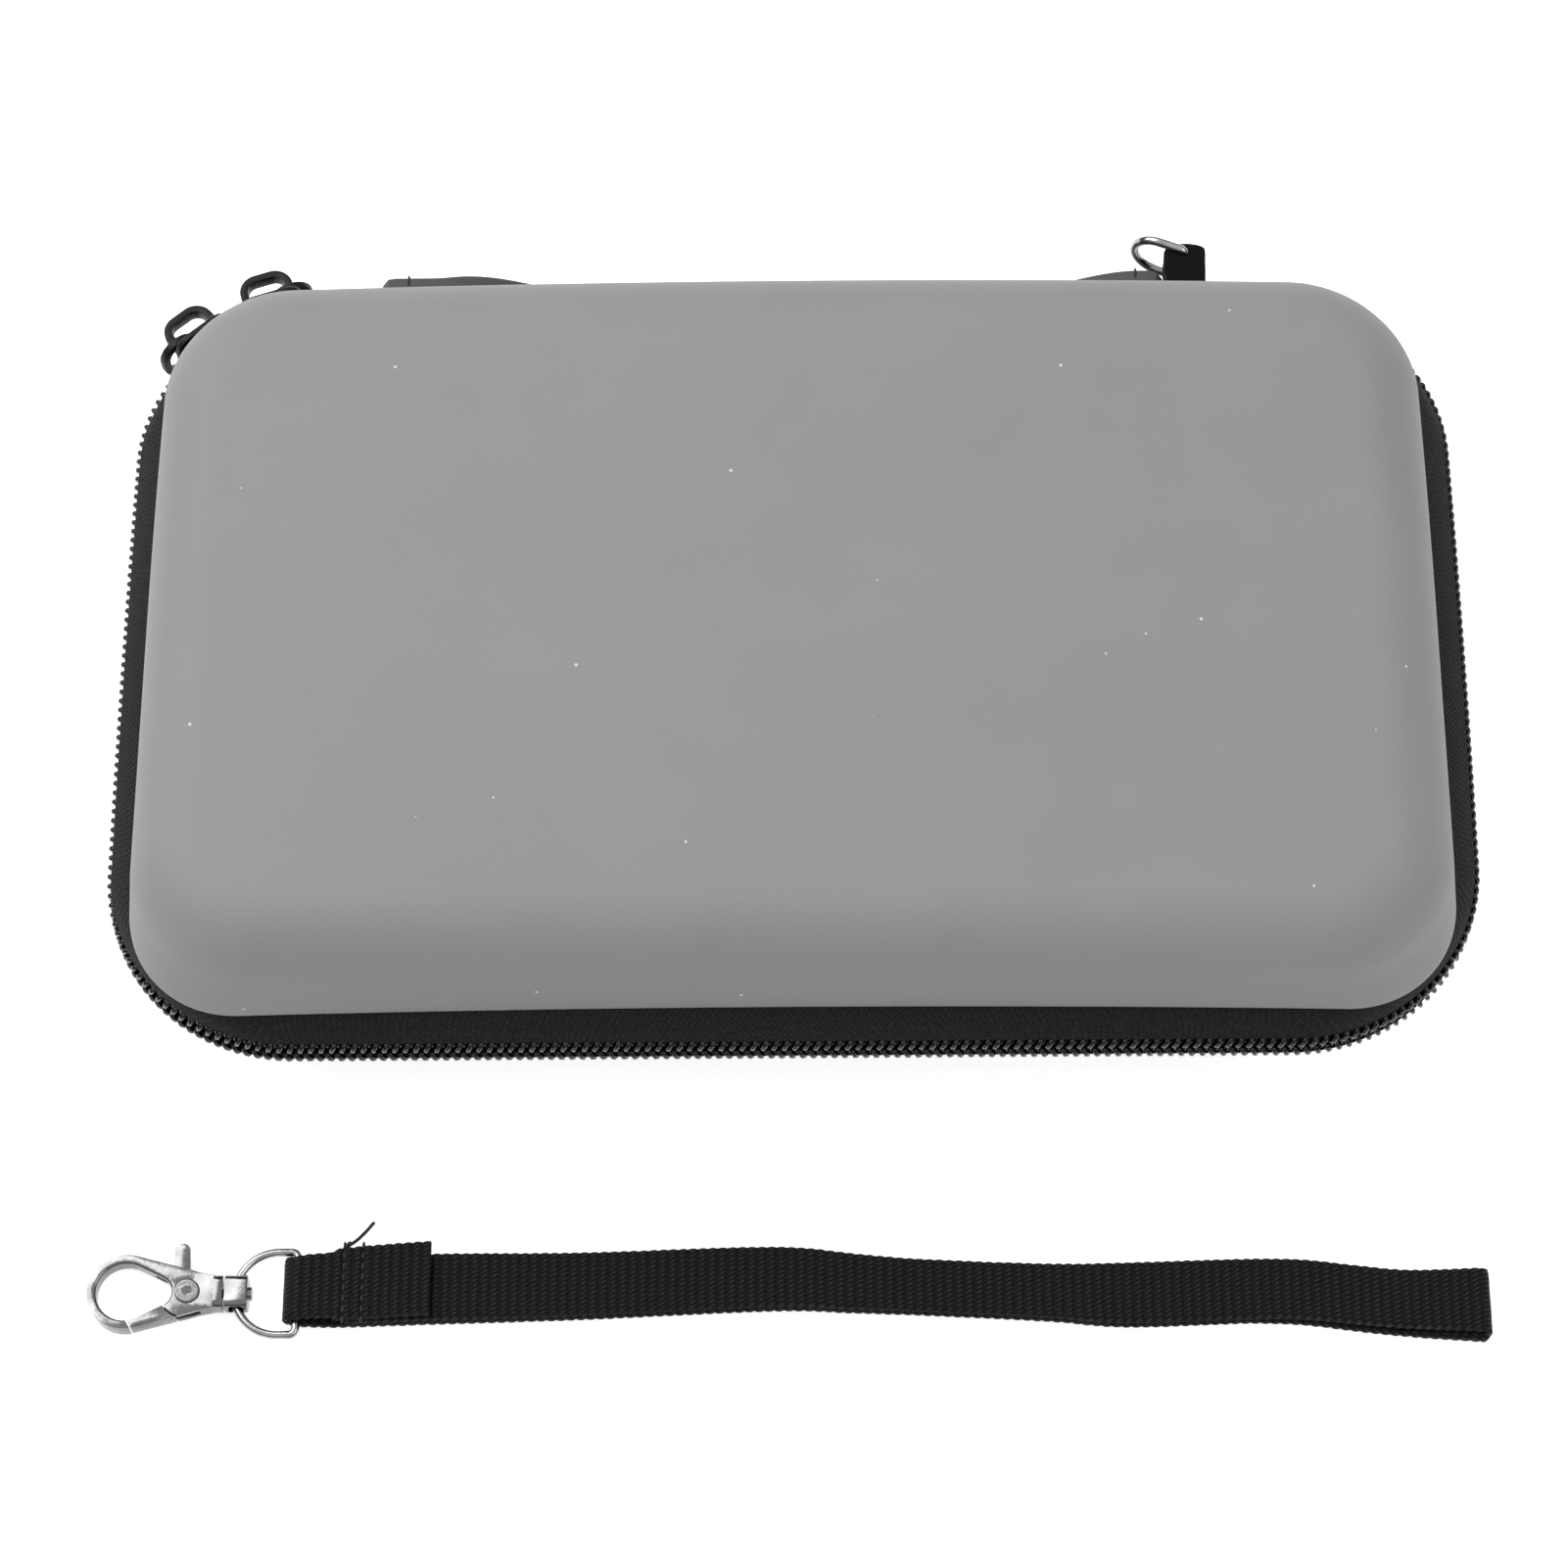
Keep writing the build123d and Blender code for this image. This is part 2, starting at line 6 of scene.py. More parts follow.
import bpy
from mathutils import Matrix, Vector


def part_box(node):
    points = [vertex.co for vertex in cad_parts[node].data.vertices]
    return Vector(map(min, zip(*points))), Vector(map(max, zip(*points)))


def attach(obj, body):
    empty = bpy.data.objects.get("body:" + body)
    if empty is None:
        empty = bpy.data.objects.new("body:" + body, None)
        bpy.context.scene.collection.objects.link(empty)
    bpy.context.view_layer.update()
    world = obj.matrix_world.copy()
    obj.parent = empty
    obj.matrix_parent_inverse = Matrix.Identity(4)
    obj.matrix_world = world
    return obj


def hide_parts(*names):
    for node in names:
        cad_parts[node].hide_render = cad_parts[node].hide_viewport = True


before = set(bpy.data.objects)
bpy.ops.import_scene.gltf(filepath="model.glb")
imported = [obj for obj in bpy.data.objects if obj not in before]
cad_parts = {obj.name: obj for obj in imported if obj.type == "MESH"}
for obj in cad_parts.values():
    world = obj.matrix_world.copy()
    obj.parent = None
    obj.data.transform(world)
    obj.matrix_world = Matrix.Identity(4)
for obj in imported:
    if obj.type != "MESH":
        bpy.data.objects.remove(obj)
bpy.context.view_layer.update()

import math

import bmesh
import bpy
from mathutils import Matrix, Vector, noise

bl_info = {
    "name": "Console Case Looks",
    "version": (1, 0, 0),
    "blender": (4, 5, 0),
    "location": "3D View > Sidebar > Case",
    "description": "Dresses a zipped console case with cloth, coils, stitches and finishes",
    "category": "Object",
}

MM = 0.001
UV_NAME = "weave"
# A hair's breadth that keeps two surfaces apart.
HAIR = 0.02 * MM
# Distance between the ribs of woven elastic.
ELASTIC_PITCH = 0.9 * MM


def size(label, about, millimetres):
    """A length property with its default in millimetres."""
    return bpy.props.FloatProperty(
        name=label, description=about, default=millimetres * MM, min=0.0, unit="LENGTH", precision=5
    )


def fraction(label, about, part):
    """A share property."""
    return bpy.props.FloatProperty(name=label, description=about, default=part, min=0.0, max=1.0)


def tint(label, about, red, green, blue):
    """A colour property in linear light."""
    return bpy.props.FloatVectorProperty(
        name=label, description=about, default=(red, green, blue), subtype="COLOR", min=0.0, max=1.0
    )


class CaseSizes(bpy.types.PropertyGroup):
    """Sizes of the case's cloth, zip and inside."""

    zip_corner: size("Zip corner", "Radius of the chain's corners", 26.5)
    lid_corner: size("Lid corner", "Radius of the lid's corners at its rim", 17.0)
    base_corner: size("Base corner", "Radius of the base's corners at its rim", 27.5)
    rim_inset: size("Rim inset", "How far the rims stand inside the chain", 4.0)
    lid_corner_low: size("Lid corner low", "Radius of the moulded lid's corners at its lip", 16.0)
    lid_corner_high: size("Lid corner high", "Radius of the moulded lid's corners above the wall", 17.6)
    lid_round: size("Lid rounding", "Radius of the lid's upper edge", 9.0)
    lid_inner_round: size("Lid inner rounding", "Radius of the lid's edge inside", 6.0)
    lip_round: size("Lip rounding", "Radius of the lid's lip", 0.8)
    flare_side: size("Side flare", "How far the lip's corners stand out to the sides", 0.3)
    flare_front: size("Front flare", "How far the lip's corners stand out to front and back", 1.4)
    bow_side: size("Side bow", "How far the lip's short sides draw in", 0.6)
    bow_front: size("Front bow", "How far the lip's long sides draw in", 1.3)
    narrow_back: size("Narrow back", "How far the lid's sides draw in towards the back", 0.8)
    back_crown: size("Back crown", "How much fuller the lid's back is in the middle than at its ends", 0.7)
    chain_bow: size("Chain bow", "How far the chain's short sides bow out", 0.6)
    coil_thick: size("Coil thickness", "Depth of the coil in front of its tape", 1.8)
    coil_pitch: size("Coil pitch", "Distance from one coil turn to the next", 1.44)
    coil_wire: size("Coil wire", "Radius of the coil's wire", 0.42)
    coil_end_gap: size("Coil end gap", "Room between the spine's end and the coil", 0.5)
    notch_from: size("Notch from", "Start of the gap behind the sliders, along the corner", 2.1)
    notch_to: size("Notch to", "End of the gap behind the sliders, along the corner", 24.6)
    notch_top: size("Notch top", "Level that the lid's tape keeps above, behind the sliders", 25.8)
    tape_thick: size("Tape thickness", "Thickness of the zip tape", 0.7)
    tape_over: size("Tape overlap", "How far the tape's fold reaches out over the coil", 1.0)
    fold_fades: size("Fold fades", "Depth of the case at which the tape's fold begins to flatten", 38.0)
    fold_gone: size("Fold gone", "Depth of the case behind which the tape lies flat", 50.0)
    tape_tuck: size("Tape tuck", "How far the tape is tucked under the rim", 0.3)
    wall: size("Wall", "Thickness of the shell's wall", 3.0)
    margin_thick: size("Tape margin", "Thickness of the tape sewn up the wall", 0.6)
    margin_height: size("Margin height", "Height of the tape sewn up the wall", 4.6)
    binding_thick: size("Binding thickness", "Thickness of the inner binding", 0.8)
    wall_lean: bpy.props.FloatProperty(
        name="Wall lean",
        description="Draft of the shell's wall",
        default=math.radians(7.0),
        subtype="ANGLE",
    )
    net_pitch: size("Net pitch", "Width of the net's cells", 2.0)
    net_yarn: size("Net yarn", "Radius of the net's yarn", 0.25)


class StrapSizes(bpy.types.PropertyGroup):
    """Sizes of the handle, the tab and the webbing."""

    rib_pitch: size("Rib pitch", "Distance between the webbing's ribs", 1.37)
    rib_height: size("Rib height", "How far a rib stands up", 0.2)
    bead: size("Bead", "Width of one yarn bead on a rib", 0.68)
    webbing: size("Webbing", "Thickness of the wrist strap's webbing", 1.2)
    layer_gap: size("Layer gap", "Room between the strap's layers", 0.1)
    ring_bar: size("Ring bar", "Wire of the strap's ring", 1.2)
    ring_slack: size("Ring slack", "Room round the ring's bar", 0.15)
    flap_long: size("Flap length", "Length of the sewn flap past the ring's bar", 18.7)
    return_from_bar: size("Return start", "Start of the return layer past the ring's bar", 6.8)
    flap_skew: size("Flap skew", "How far the flap's end is sewn out of line", 0.9)
    lower_slip: size("Lower slip", "How far the lower layer slips out at the fold", 0.7)
    handle_thick: size("Handle thickness", "Thickness of the handle", 4.5)
    handle_top: size("Handle top", "Level of the handle's top at its ends", 25.8)
    handle_high: size("Handle height", "Height of the handle strap", 12.0)
    handle_bow: size("Handle bow", "How far the handle bows out", 5.0)
    handle_droop: size("Handle droop", "How far the handle's middle hangs", 12.0)
    droop_from: fraction("Droop from", "Share of the half length where the handle starts to droop", 0.9)
    handle_skew: fraction("Handle skew", "Share of the half length that the droop lies to the right", 0.08)
    droop_over: fraction("Droop over", "Share of the half length over which it droops", 0.4)
    handle_end_flat: size("Handle end", "Flat length at the handle's ends", 3.0)
    handle_tip: size("Handle tip", "Radius of the handle's ends", 2.0)
    tab_edge: size("Tab edge", "Radius of the felt tab's edges", 1.3)
    tab_wide: size("Tab width", "Width of the felt tab", 6.0)
    tab_shift: size("Tab shift", "How far the felt tab's middle lies left of its sewn foot's", 0.35)
    tab_swell: size("Tab swell", "How far the felt stands up round the ring's bar", 0.7)
    tab_fuzz: size("Tab fuzz", "Unevenness of the felt tab", 0.3)
    stitch: size("Stitch", "Length of one stitch", 1.7)
    stitch_gap: size("Stitch gap", "Room between stitches", 0.6)
    thread: size("Thread", "Radius of the sewing thread", 0.2)


class CaseColours(bpy.types.PropertyGroup):
    """Colours of the case's finishes."""

    shell: tint("Shell", "Matte grey of the moulded shells", 0.224, 0.224, 0.224)
    tape: tint("Tape", "Black of the woven tapes", 0.009, 0.009, 0.009)
    coil: tint("Coil", "Black of the nylon coils", 0.0025, 0.0025, 0.0025)
    webbing: tint("Webbing", "Black of the webbing", 0.005, 0.005, 0.005)
    handle: tint("Handle", "Dark grey of the handle", 0.058, 0.058, 0.06)
    metal: tint("Painted metal", "Black paint of sliders and pulls", 0.005, 0.005, 0.0055)
    chrome: tint("Chrome", "Plated rings and clasp", 0.34, 0.34, 0.35)


def settings(context):
    """The three groups of values that the operators read."""
    scene = context.scene
    return scene.case_sizes, scene.strap_sizes, scene.case_colours


# Node helpers.


def node(tree, kind, sockets=None, **options):
    """Adds a node, sets its options, and sets or joins its sockets by name or place."""
    made = tree.nodes.new(kind)
    for option, value in options.items():
        setattr(made, option, value)
    for key, value in (sockets or {}).items():
        if isinstance(value, bpy.types.NodeSocket):
            tree.links.new(value, made.inputs[key])
        else:
            made.inputs[key].default_value = value
    return made


def calc(tree, operation, first, second=0.0):
    """A sum on one or two values."""
    return node(tree, "ShaderNodeMath", {0: first, 1: second}, operation=operation).outputs[0]


def vector_calc(tree, operation, first, second):
    """A sum on two vectors."""
    made = node(tree, "ShaderNodeVectorMath", {0: first, 1: second}, operation=operation)
    return made.outputs["Value" if operation == "DOT_PRODUCT" else "Vector"]


def vector_scale(tree, vector, factor):
    """A vector made longer or shorter."""
    made = node(tree, "ShaderNodeVectorMath", {0: vector, "Scale": factor}, operation="SCALE")
    return made.outputs["Vector"]


def ridges(tree, distance, pitch):
    """Rounded ridges, from 0 in the furrows to 1 on top, that repeat along a distance."""
    turns = calc(tree, "MULTIPLY", distance, math.pi / pitch)
    return calc(tree, "ABSOLUTE", calc(tree, "SINE", turns))


def new_finish(name, roughness, specular=0.5, metallic=0.0):
    """An empty material with its shader, whose even values sit on the shader's own sockets."""
    material = bpy.data.materials.new(name)
    material.use_nodes = True
    tree = material.node_tree
    tree.nodes.clear()
    shader = node(tree, "ShaderNodeBsdfPrincipled")
    shader.inputs["Roughness"].default_value = roughness
    shader.inputs["Specular IOR Level"].default_value = specular
    shader.inputs["Metallic"].default_value = metallic
    node(tree, "ShaderNodeOutputMaterial", {"Surface": shader.outputs["BSDF"]})
    return material, tree, shader


def mixed(tree, factor, dark, light):
    """A colour from dark to light by a factor, where dark may be another node's colour."""
    start = dark if isinstance(dark, bpy.types.NodeSocket) else (*dark, 1.0)
    sockets = {0: factor, "A": start, "B": (*light, 1.0)}
    return node(tree, "ShaderNodeMix", sockets, data_type="RGBA").outputs["Result"]


def shaded(tree, shader, factor, dark, light):
    """Colours a finish from dark to light by a factor."""
    tree.links.new(mixed(tree, factor, dark, light), shader.inputs["Base Color"])


def bumped(tree, shader, height, depth, strength=1.0):
    """Gives a finish its relief."""
    bump = node(tree, "ShaderNodeBump", {"Height": height, "Distance": depth, "Strength": strength})
    tree.links.new(bump.outputs["Normal"], shader.inputs["Normal"])


def rough_between(tree, shader, factor, low, high):
    """Lets a finish's roughness wander between two values."""
    spread = node(tree, "ShaderNodeMapRange", {"Value": factor, "To Min": low, "To Max": high})
    tree.links.new(spread.outputs["Result"], shader.inputs["Roughness"])


def grain(tree, scale, detail=2.0, place=None):
    """Noise on the piece's own coordinates, in cells for each metre."""
    place = place or node(tree, "ShaderNodeTexCoord").outputs["Object"]
    sockets = {"Vector": place, "Scale": scale, "Detail": detail}
    return node(tree, "ShaderNodeTexNoise", sockets).outputs["Fac"]


def cloth_axes(tree):
    """Distances along and across a piece of cloth, from its own map."""
    place = node(tree, "ShaderNodeUVMap", uv_map=UV_NAME).outputs["UV"]
    parts = node(tree, "ShaderNodeSeparateXYZ", {0: place})
    return parts.outputs["X"], parts.outputs["Y"]


def times(colour, factor):
    """A colour made lighter or darker."""
    return tuple(min(1.0, part * factor) for part in colour)


# Finishes.


def shell_finish(name, colours):
    """Matte moulded skin: faint mottling, fine grain and a few pale specks."""
    speck_cells = 150.0
    speck_radius = 0.036
    bare_share = 0.3
    material, tree, shader = new_finish(name, 0.62, specular=0.35)
    place = node(tree, "ShaderNodeTexCoord").outputs["Object"]
    cloud = grain(tree, 55.0, 4.0, place)
    fine = grain(tree, 3800.0, 3.0, place)
    cells = node(tree, "ShaderNodeTexVoronoi", {"Vector": place, "Scale": speck_cells})
    spot = calc(tree, "LESS_THAN", cells.outputs["Distance"], speck_radius)
    chosen = node(tree, "ShaderNodeSeparateColor", {0: cells.outputs["Color"]})
    marked = calc(tree, "GREATER_THAN", chosen.outputs[0], bare_share)
    speck = calc(tree, "MULTIPLY", spot, marked)
    body = mixed(tree, cloud, times(colours.shell, 0.94), times(colours.shell, 1.06))
    shaded(tree, shader, speck, body, times(colours.shell, 2.4))
    rough_between(tree, shader, cloud, 0.56, 0.68)
    bumped(tree, shader, fine, 0.06 * MM, 0.5)
    return material


def woven_finish(name, colour, pitch, roughness=0.85):
    """Plain woven cloth whose threads follow the piece's own map."""
    material, tree, shader = new_finish(name, roughness, specular=0.12)
    along, across = cloth_axes(tree)
    warp = calc(tree, "SINE", calc(tree, "MULTIPLY", along, math.pi / pitch))
    weft = calc(tree, "SINE", calc(tree, "MULTIPLY", across, math.pi / pitch))
    weave = calc(tree, "MULTIPLY_ADD", calc(tree, "MULTIPLY", warp, weft), 0.5)
    fuzz = grain(tree, 2600.0, 3.0)
    tone = calc(tree, "MULTIPLY", calc(tree, "POWER", fuzz, 2.0), calc(tree, "ADD", weave, 0.6))
    shaded(tree, shader, tone, times(colour, 0.5), times(colour, 3.6))
    bumped(tree, shader, calc(tree, "ADD", weave, fuzz), 0.12 * MM)
    shader.inputs["Sheen Weight"].default_value = 0.04
    return material


def webbing_finish(name, colour, pitch, bead):
    """Ribbed webbing: beads of yarn across each rib, with painted shade in the furrows and painted
    highlights on the bead tops.
    """
    material, tree, shader = new_finish(name, 0.55, specular=0.12)
    along, across = cloth_axes(tree)
    rib = ridges(tree, along, pitch)
    slant = calc(tree, "ADD", across, calc(tree, "MULTIPLY", along, bead / pitch))
    beads = ridges(tree, slant, bead)
    fuzz = grain(tree, 2400.0, 3.0)
    relief = calc(tree, "MULTIPLY", rib, beads)
    # Painted light: the colour runs from painted shade in the furrows to painted highlights on the bead
    # tops, broken up by fuzz.
    tone = calc(tree, "MULTIPLY", calc(tree, "POWER", relief, 1.6), fuzz)
    shaded(tree, shader, tone, times(colour, 0.45), times(colour, 8.0))
    bumped(tree, shader, calc(tree, "ADD", relief, calc(tree, "MULTIPLY", fuzz, 0.4)), 0.22 * MM)
    shader.inputs["Sheen Weight"].default_value = 0.03
    return material


def yarn_finish(name, colour, roughness=0.6, shine=0.4):
    """Sewing thread, felt and net yarn: fine fibres with a little sheen."""
    material, tree, shader = new_finish(name, roughness, specular=shine)
    fibre = grain(tree, 4200.0, 2.0)
    shaded(tree, shader, fibre, times(colour, 0.6), times(colour, 1.8))
    bumped(tree, shader, fibre, 0.05 * MM)
    shader.inputs["Sheen Weight"].default_value = 0.3 * shine
    return material


def coil_finish(name, colours):
    """Glossy black nylon wire."""
    material, tree, shader = new_finish(name, 0.2, specular=0.4)
    fine = grain(tree, 900.0, 2.0)
    shaded(tree, shader, fine, times(colours.coil, 0.7), times(colours.coil, 1.6))
    rough_between(tree, shader, fine, 0.10, 0.20)
    return material


def rubber_finish(name, colour):
    """The handle's matte skin: fine grain, slightly paler where it wears."""
    material, tree, shader = new_finish(name, 0.7, specular=0.4)
    fine = grain(tree, 2200.0, 4.0)
    cloud = grain(tree, 120.0, 3.0)
    shaded(tree, shader, cloud, times(colour, 0.7), times(colour, 1.35))
    rough_between(tree, shader, cloud, 0.6, 0.78)
    bumped(tree, shader, fine, 0.1 * MM)
    return material


def painted_finish(name, colour):
    """Black painted metal, worn a little uneven."""
    material, tree, shader = new_finish(name, 0.4, specular=0.16)
    cloud = grain(tree, 420.0, 4.0)
    fine = grain(tree, 2600.0, 2.0)
    shaded(tree, shader, cloud, times(colour, 0.6), times(colour, 2.0))
    rough_between(tree, shader, cloud, 0.3, 0.5)
    bumped(tree, shader, fine, 0.03 * MM)
    shader.inputs["Coat Weight"].default_value = 0.02
    return material


def chrome_finish(name, colour):
    """Bright plating with fine polishing marks, and painted reflections mottling its colour."""
    material, tree, shader = new_finish(name, 0.16, metallic=1.0)
    cloud = grain(tree, 350.0, 4.0)
    fine = grain(tree, 1500.0, 3.0)
    # Painted reflection: large cloud noise mottles the plating's colour into darker and brighter patches.
    shaded(tree, shader, cloud, times(colour, 0.45), times(colour, 1.6))
    rough_between(tree, shader, fine, 0.10, 0.24)
    bumped(tree, shader, fine, 0.03 * MM, 0.6)
    return material


def finish(name, context):
    """The finish of that name, made when it is first asked for."""
    if name not in bpy.data.materials:
        _, straps, colours = settings(context)
        makers = {
            "shell_skin": lambda: shell_finish(name, colours),
            "tape_weave": lambda: woven_finish(name, colours.tape, 0.45 * MM),
            "binding_weave": lambda: woven_finish(name, colours.tape, 0.6 * MM),
            "spine_weave": lambda: woven_finish(name, colours.tape, 0.55 * MM),
            "elastic_weave": lambda: webbing_finish(name, colours.webbing, ELASTIC_PITCH, 0.5 * MM),
            "tab_felt": lambda: yarn_finish(name, times(colours.tape, 0.5), 0.92, 0.06),
            "webbing_ribs": lambda: webbing_finish(name, colours.webbing, straps.rib_pitch, straps.bead),
            "coil_nylon": lambda: coil_finish(name, colours),
            "net_yarn": lambda: yarn_finish(name, times(colours.tape, 1.5)),
            "thread_black": lambda: yarn_finish(name, colours.webbing),
            "handle_skin": lambda: rubber_finish(name, colours.handle),
            "slider_paint": lambda: painted_finish(name, colours.metal),
            "chrome_plate": lambda: chrome_finish(name, colours.chrome),
            # Painted shade: the clasp wears the rings' chrome at half its brightness.
            "clasp_plate": lambda: chrome_finish(name, times(colours.chrome, 0.5)),
        }
        makers[name]()
    return bpy.data.materials[name]


# Geometry trees.


def new_tree(name, inputs):
    """A geometry tree with named inputs, and its group input and output nodes."""
    tree = bpy.data.node_groups.new(name, "GeometryNodeTree")
    tree.interface.new_socket("Geometry", in_out="INPUT", socket_type="NodeSocketGeometry")
    for label, kind in inputs:
        tree.interface.new_socket(label, in_out="INPUT", socket_type="NodeSocket" + kind)
    tree.interface.new_socket("Geometry", in_out="OUTPUT", socket_type="NodeSocketGeometry")
    return tree, tree.nodes.new("NodeGroupInput").outputs, tree.nodes.new("NodeGroupOutput").inputs


def end_tree(tree, asked, result, geometry):
    """Ends a tree: smooth, real geometry with its material."""
    smooth = node(tree, "GeometryNodeSetShadeSmooth", {"Geometry": geometry})
    real = node(tree, "GeometryNodeRealizeInstances", {"Geometry": smooth.outputs[0]})
    dressed = node(
        tree, "GeometryNodeSetMaterial", {"Geometry": real.outputs[0], "Material": asked["Material"]}
    )
    tree.links.new(dressed.outputs[0], result["Geometry"])
    return tree


def captured(tree, geometry, fields):
    """Keeps fields of a curve's points, so that the mesh made from it can read them."""
    made = tree.nodes.new("GeometryNodeCaptureAttribute")
    for kind, label, field in fields:
        made.capture_items.new(kind, label)
        tree.links.new(field, made.inputs[label])
    tree.links.new(geometry, made.inputs["Geometry"])
    return made.outputs


def mapped(tree, geometry, along, across):
    """Stores distances along and across a piece of cloth as its map."""
    place = node(tree, "ShaderNodeCombineXYZ", {"X": along, "Y": across})
    return node(
        tree,
        "GeometryNodeStoreNamedAttribute",
        {"Geometry": geometry, "Name": UV_NAME, "Value": place.outputs[0]},
        data_type="FLOAT2",
        domain="CORNER",
    ).outputs[0]


def coil_tree():
    """A flattened helix of wire wound along a path."""
    steps_in_turn = 10.0
    fullness = 0.75
    wire_sides = 6
    tree, asked, result = new_tree(
        "Zip coil",
        [("Pitch", "Float"), ("Half High", "Float"), ("Half Thick", "Float"), ("Wire", "Float")]
        + [("Lean", "Float"), ("Material", "Material")],
    )
    step = calc(tree, "DIVIDE", asked["Pitch"], steps_in_turn)
    path = node(
        tree, "GeometryNodeResampleCurve", {"Curve": asked["Geometry"], "Length": step}, mode="LENGTH"
    ).outputs[0]
    along = node(tree, "GeometryNodeSplineParameter").outputs["Length"]
    turn = calc(tree, "MULTIPLY", calc(tree, "DIVIDE", along, asked["Pitch"]), 2 * math.pi)
    tangent = node(tree, "GeometryNodeInputTangent").outputs[0]
    outward = vector_calc(tree, "CROSS_PRODUCT", tangent, (0.0, 0.0, 1.0))

    def squared(wave):
        """A wave with fuller ends, so that the wire lies flat against its box."""
        full = calc(tree, "POWER", calc(tree, "ABSOLUTE", wave), fullness)
        return calc(tree, "MULTIPLY", full, calc(tree, "SIGN", wave))

    out = calc(tree, "MULTIPLY", squared(calc(tree, "COSINE", turn)), asked["Half Thick"])
    lift = calc(tree, "MULTIPLY", squared(calc(tree, "SINE", turn)), asked["Half High"])
    lift = calc(tree, "MULTIPLY", lift, asked["Lean"])
    rise = node(tree, "ShaderNodeCombineXYZ", {"Z": lift}).outputs[0]
    offset = vector_calc(tree, "ADD", vector_scale(tree, outward, out), rise)
    wound = node(tree, "GeometryNodeSetPosition", {"Geometry": path, "Offset": offset}).outputs[0]
    round_wire = {"Resolution": wire_sides, "Radius": asked["Wire"]}
    section = node(tree, "GeometryNodeCurvePrimitiveCircle", round_wire)
    wire = node(
        tree,
        "GeometryNodeCurveToMesh",
        {"Curve": wound, "Profile Curve": section.outputs[0], "Fill Caps": True},
    )
    return end_tree(tree, asked, result, wire.outputs[0])


def webbing_tree():
    """A band of ribbed cloth along a path, whose point radius narrows it."""
    steps_in_rib = 6.0
    edge_share = 0.42
    section_points = 30
    rib_fullness = 0.8
    wander_scale = 420.0
    tree, asked, result = new_tree(
        "Ribbed band",
        [("Side", "Vector"), ("Width", "Float"), ("Thickness", "Float"), ("Rib Pitch", "Float")]
        + [("Rib Height", "Float"), ("Unevenness", "Float"), ("Material", "Material")],
    )
    step = calc(tree, "DIVIDE", asked["Rib Pitch"], steps_in_rib)
    path = node(
        tree, "GeometryNodeResampleCurve", {"Curve": asked["Geometry"], "Length": step}, mode="LENGTH"
    ).outputs[0]
    kept = captured(
        tree,
        path,
        [
            ("FLOAT", "along", node(tree, "GeometryNodeSplineParameter").outputs["Length"]),
            ("VECTOR", "middle", node(tree, "GeometryNodeInputPosition").outputs[0]),
            ("FLOAT", "share", node(tree, "GeometryNodeInputRadius").outputs[0]),
        ],
    )
    even = node(tree, "GeometryNodeSetCurveRadius", {"Curve": kept["Geometry"], "Radius": 1.0}).outputs[0]
    held = node(
        tree, "GeometryNodeSetCurveNormal", {"Curve": even, "Normal": asked["Side"]}, mode="FREE"
    ).outputs[0]
    section = node(
        tree,
        "GeometryNodeCurvePrimitiveQuadrilateral",
        {"Width": asked["Width"], "Height": asked["Thickness"]},
    ).outputs[0]
    edge = calc(tree, "MULTIPLY", asked["Thickness"], edge_share)
    soft = node(
        tree, "GeometryNodeFilletCurve", {"Curve": section, "Count": 4, "Radius": edge}, mode="POLY"
    ).outputs[0]
    fine = node(
        tree, "GeometryNodeResampleCurve", {"Curve": soft, "Count": section_points}, mode="COUNT"
    ).outputs[0]
    band = node(
        tree, "GeometryNodeCurveToMesh", {"Curve": held, "Profile Curve": fine, "Fill Caps": True}
    ).outputs[0]
    place = node(tree, "GeometryNodeInputPosition").outputs[0]
    from_middle = vector_calc(tree, "SUBTRACT", place, kept["middle"])
    across = vector_calc(tree, "DOT_PRODUCT", from_middle, asked["Side"])
    narrower = calc(tree, "MULTIPLY", across, calc(tree, "SUBTRACT", kept["share"], 1.0))
    turns = calc(tree, "MULTIPLY", calc(tree, "DIVIDE", kept["along"], asked["Rib Pitch"]), math.pi)
    rib = calc(tree, "POWER", calc(tree, "ABSOLUTE", calc(tree, "SINE", turns)), rib_fullness)
    sunk = calc(tree, "MULTIPLY", calc(tree, "SUBTRACT", rib, 1.0), asked["Rib Height"])
    cloud = node(tree, "ShaderNodeTexNoise", {"Vector": place, "Scale": wander_scale, "Detail": 2.0})
    wander = calc(tree, "MULTIPLY", calc(tree, "SUBTRACT", cloud.outputs["Fac"], 0.5), asked["Unevenness"])
    push = calc(tree, "ADD", sunk, wander)
    normal = node(tree, "GeometryNodeInputNormal").outputs[0]
    offset = vector_calc(
        tree, "ADD", vector_scale(tree, asked["Side"], narrower), vector_scale(tree, normal, push)
    )
    shaped = node(tree, "GeometryNodeSetPosition", {"Geometry": band, "Offset": offset}).outputs[0]
    return end_tree(tree, asked, result, mapped(tree, shaped, kept["along"], across))


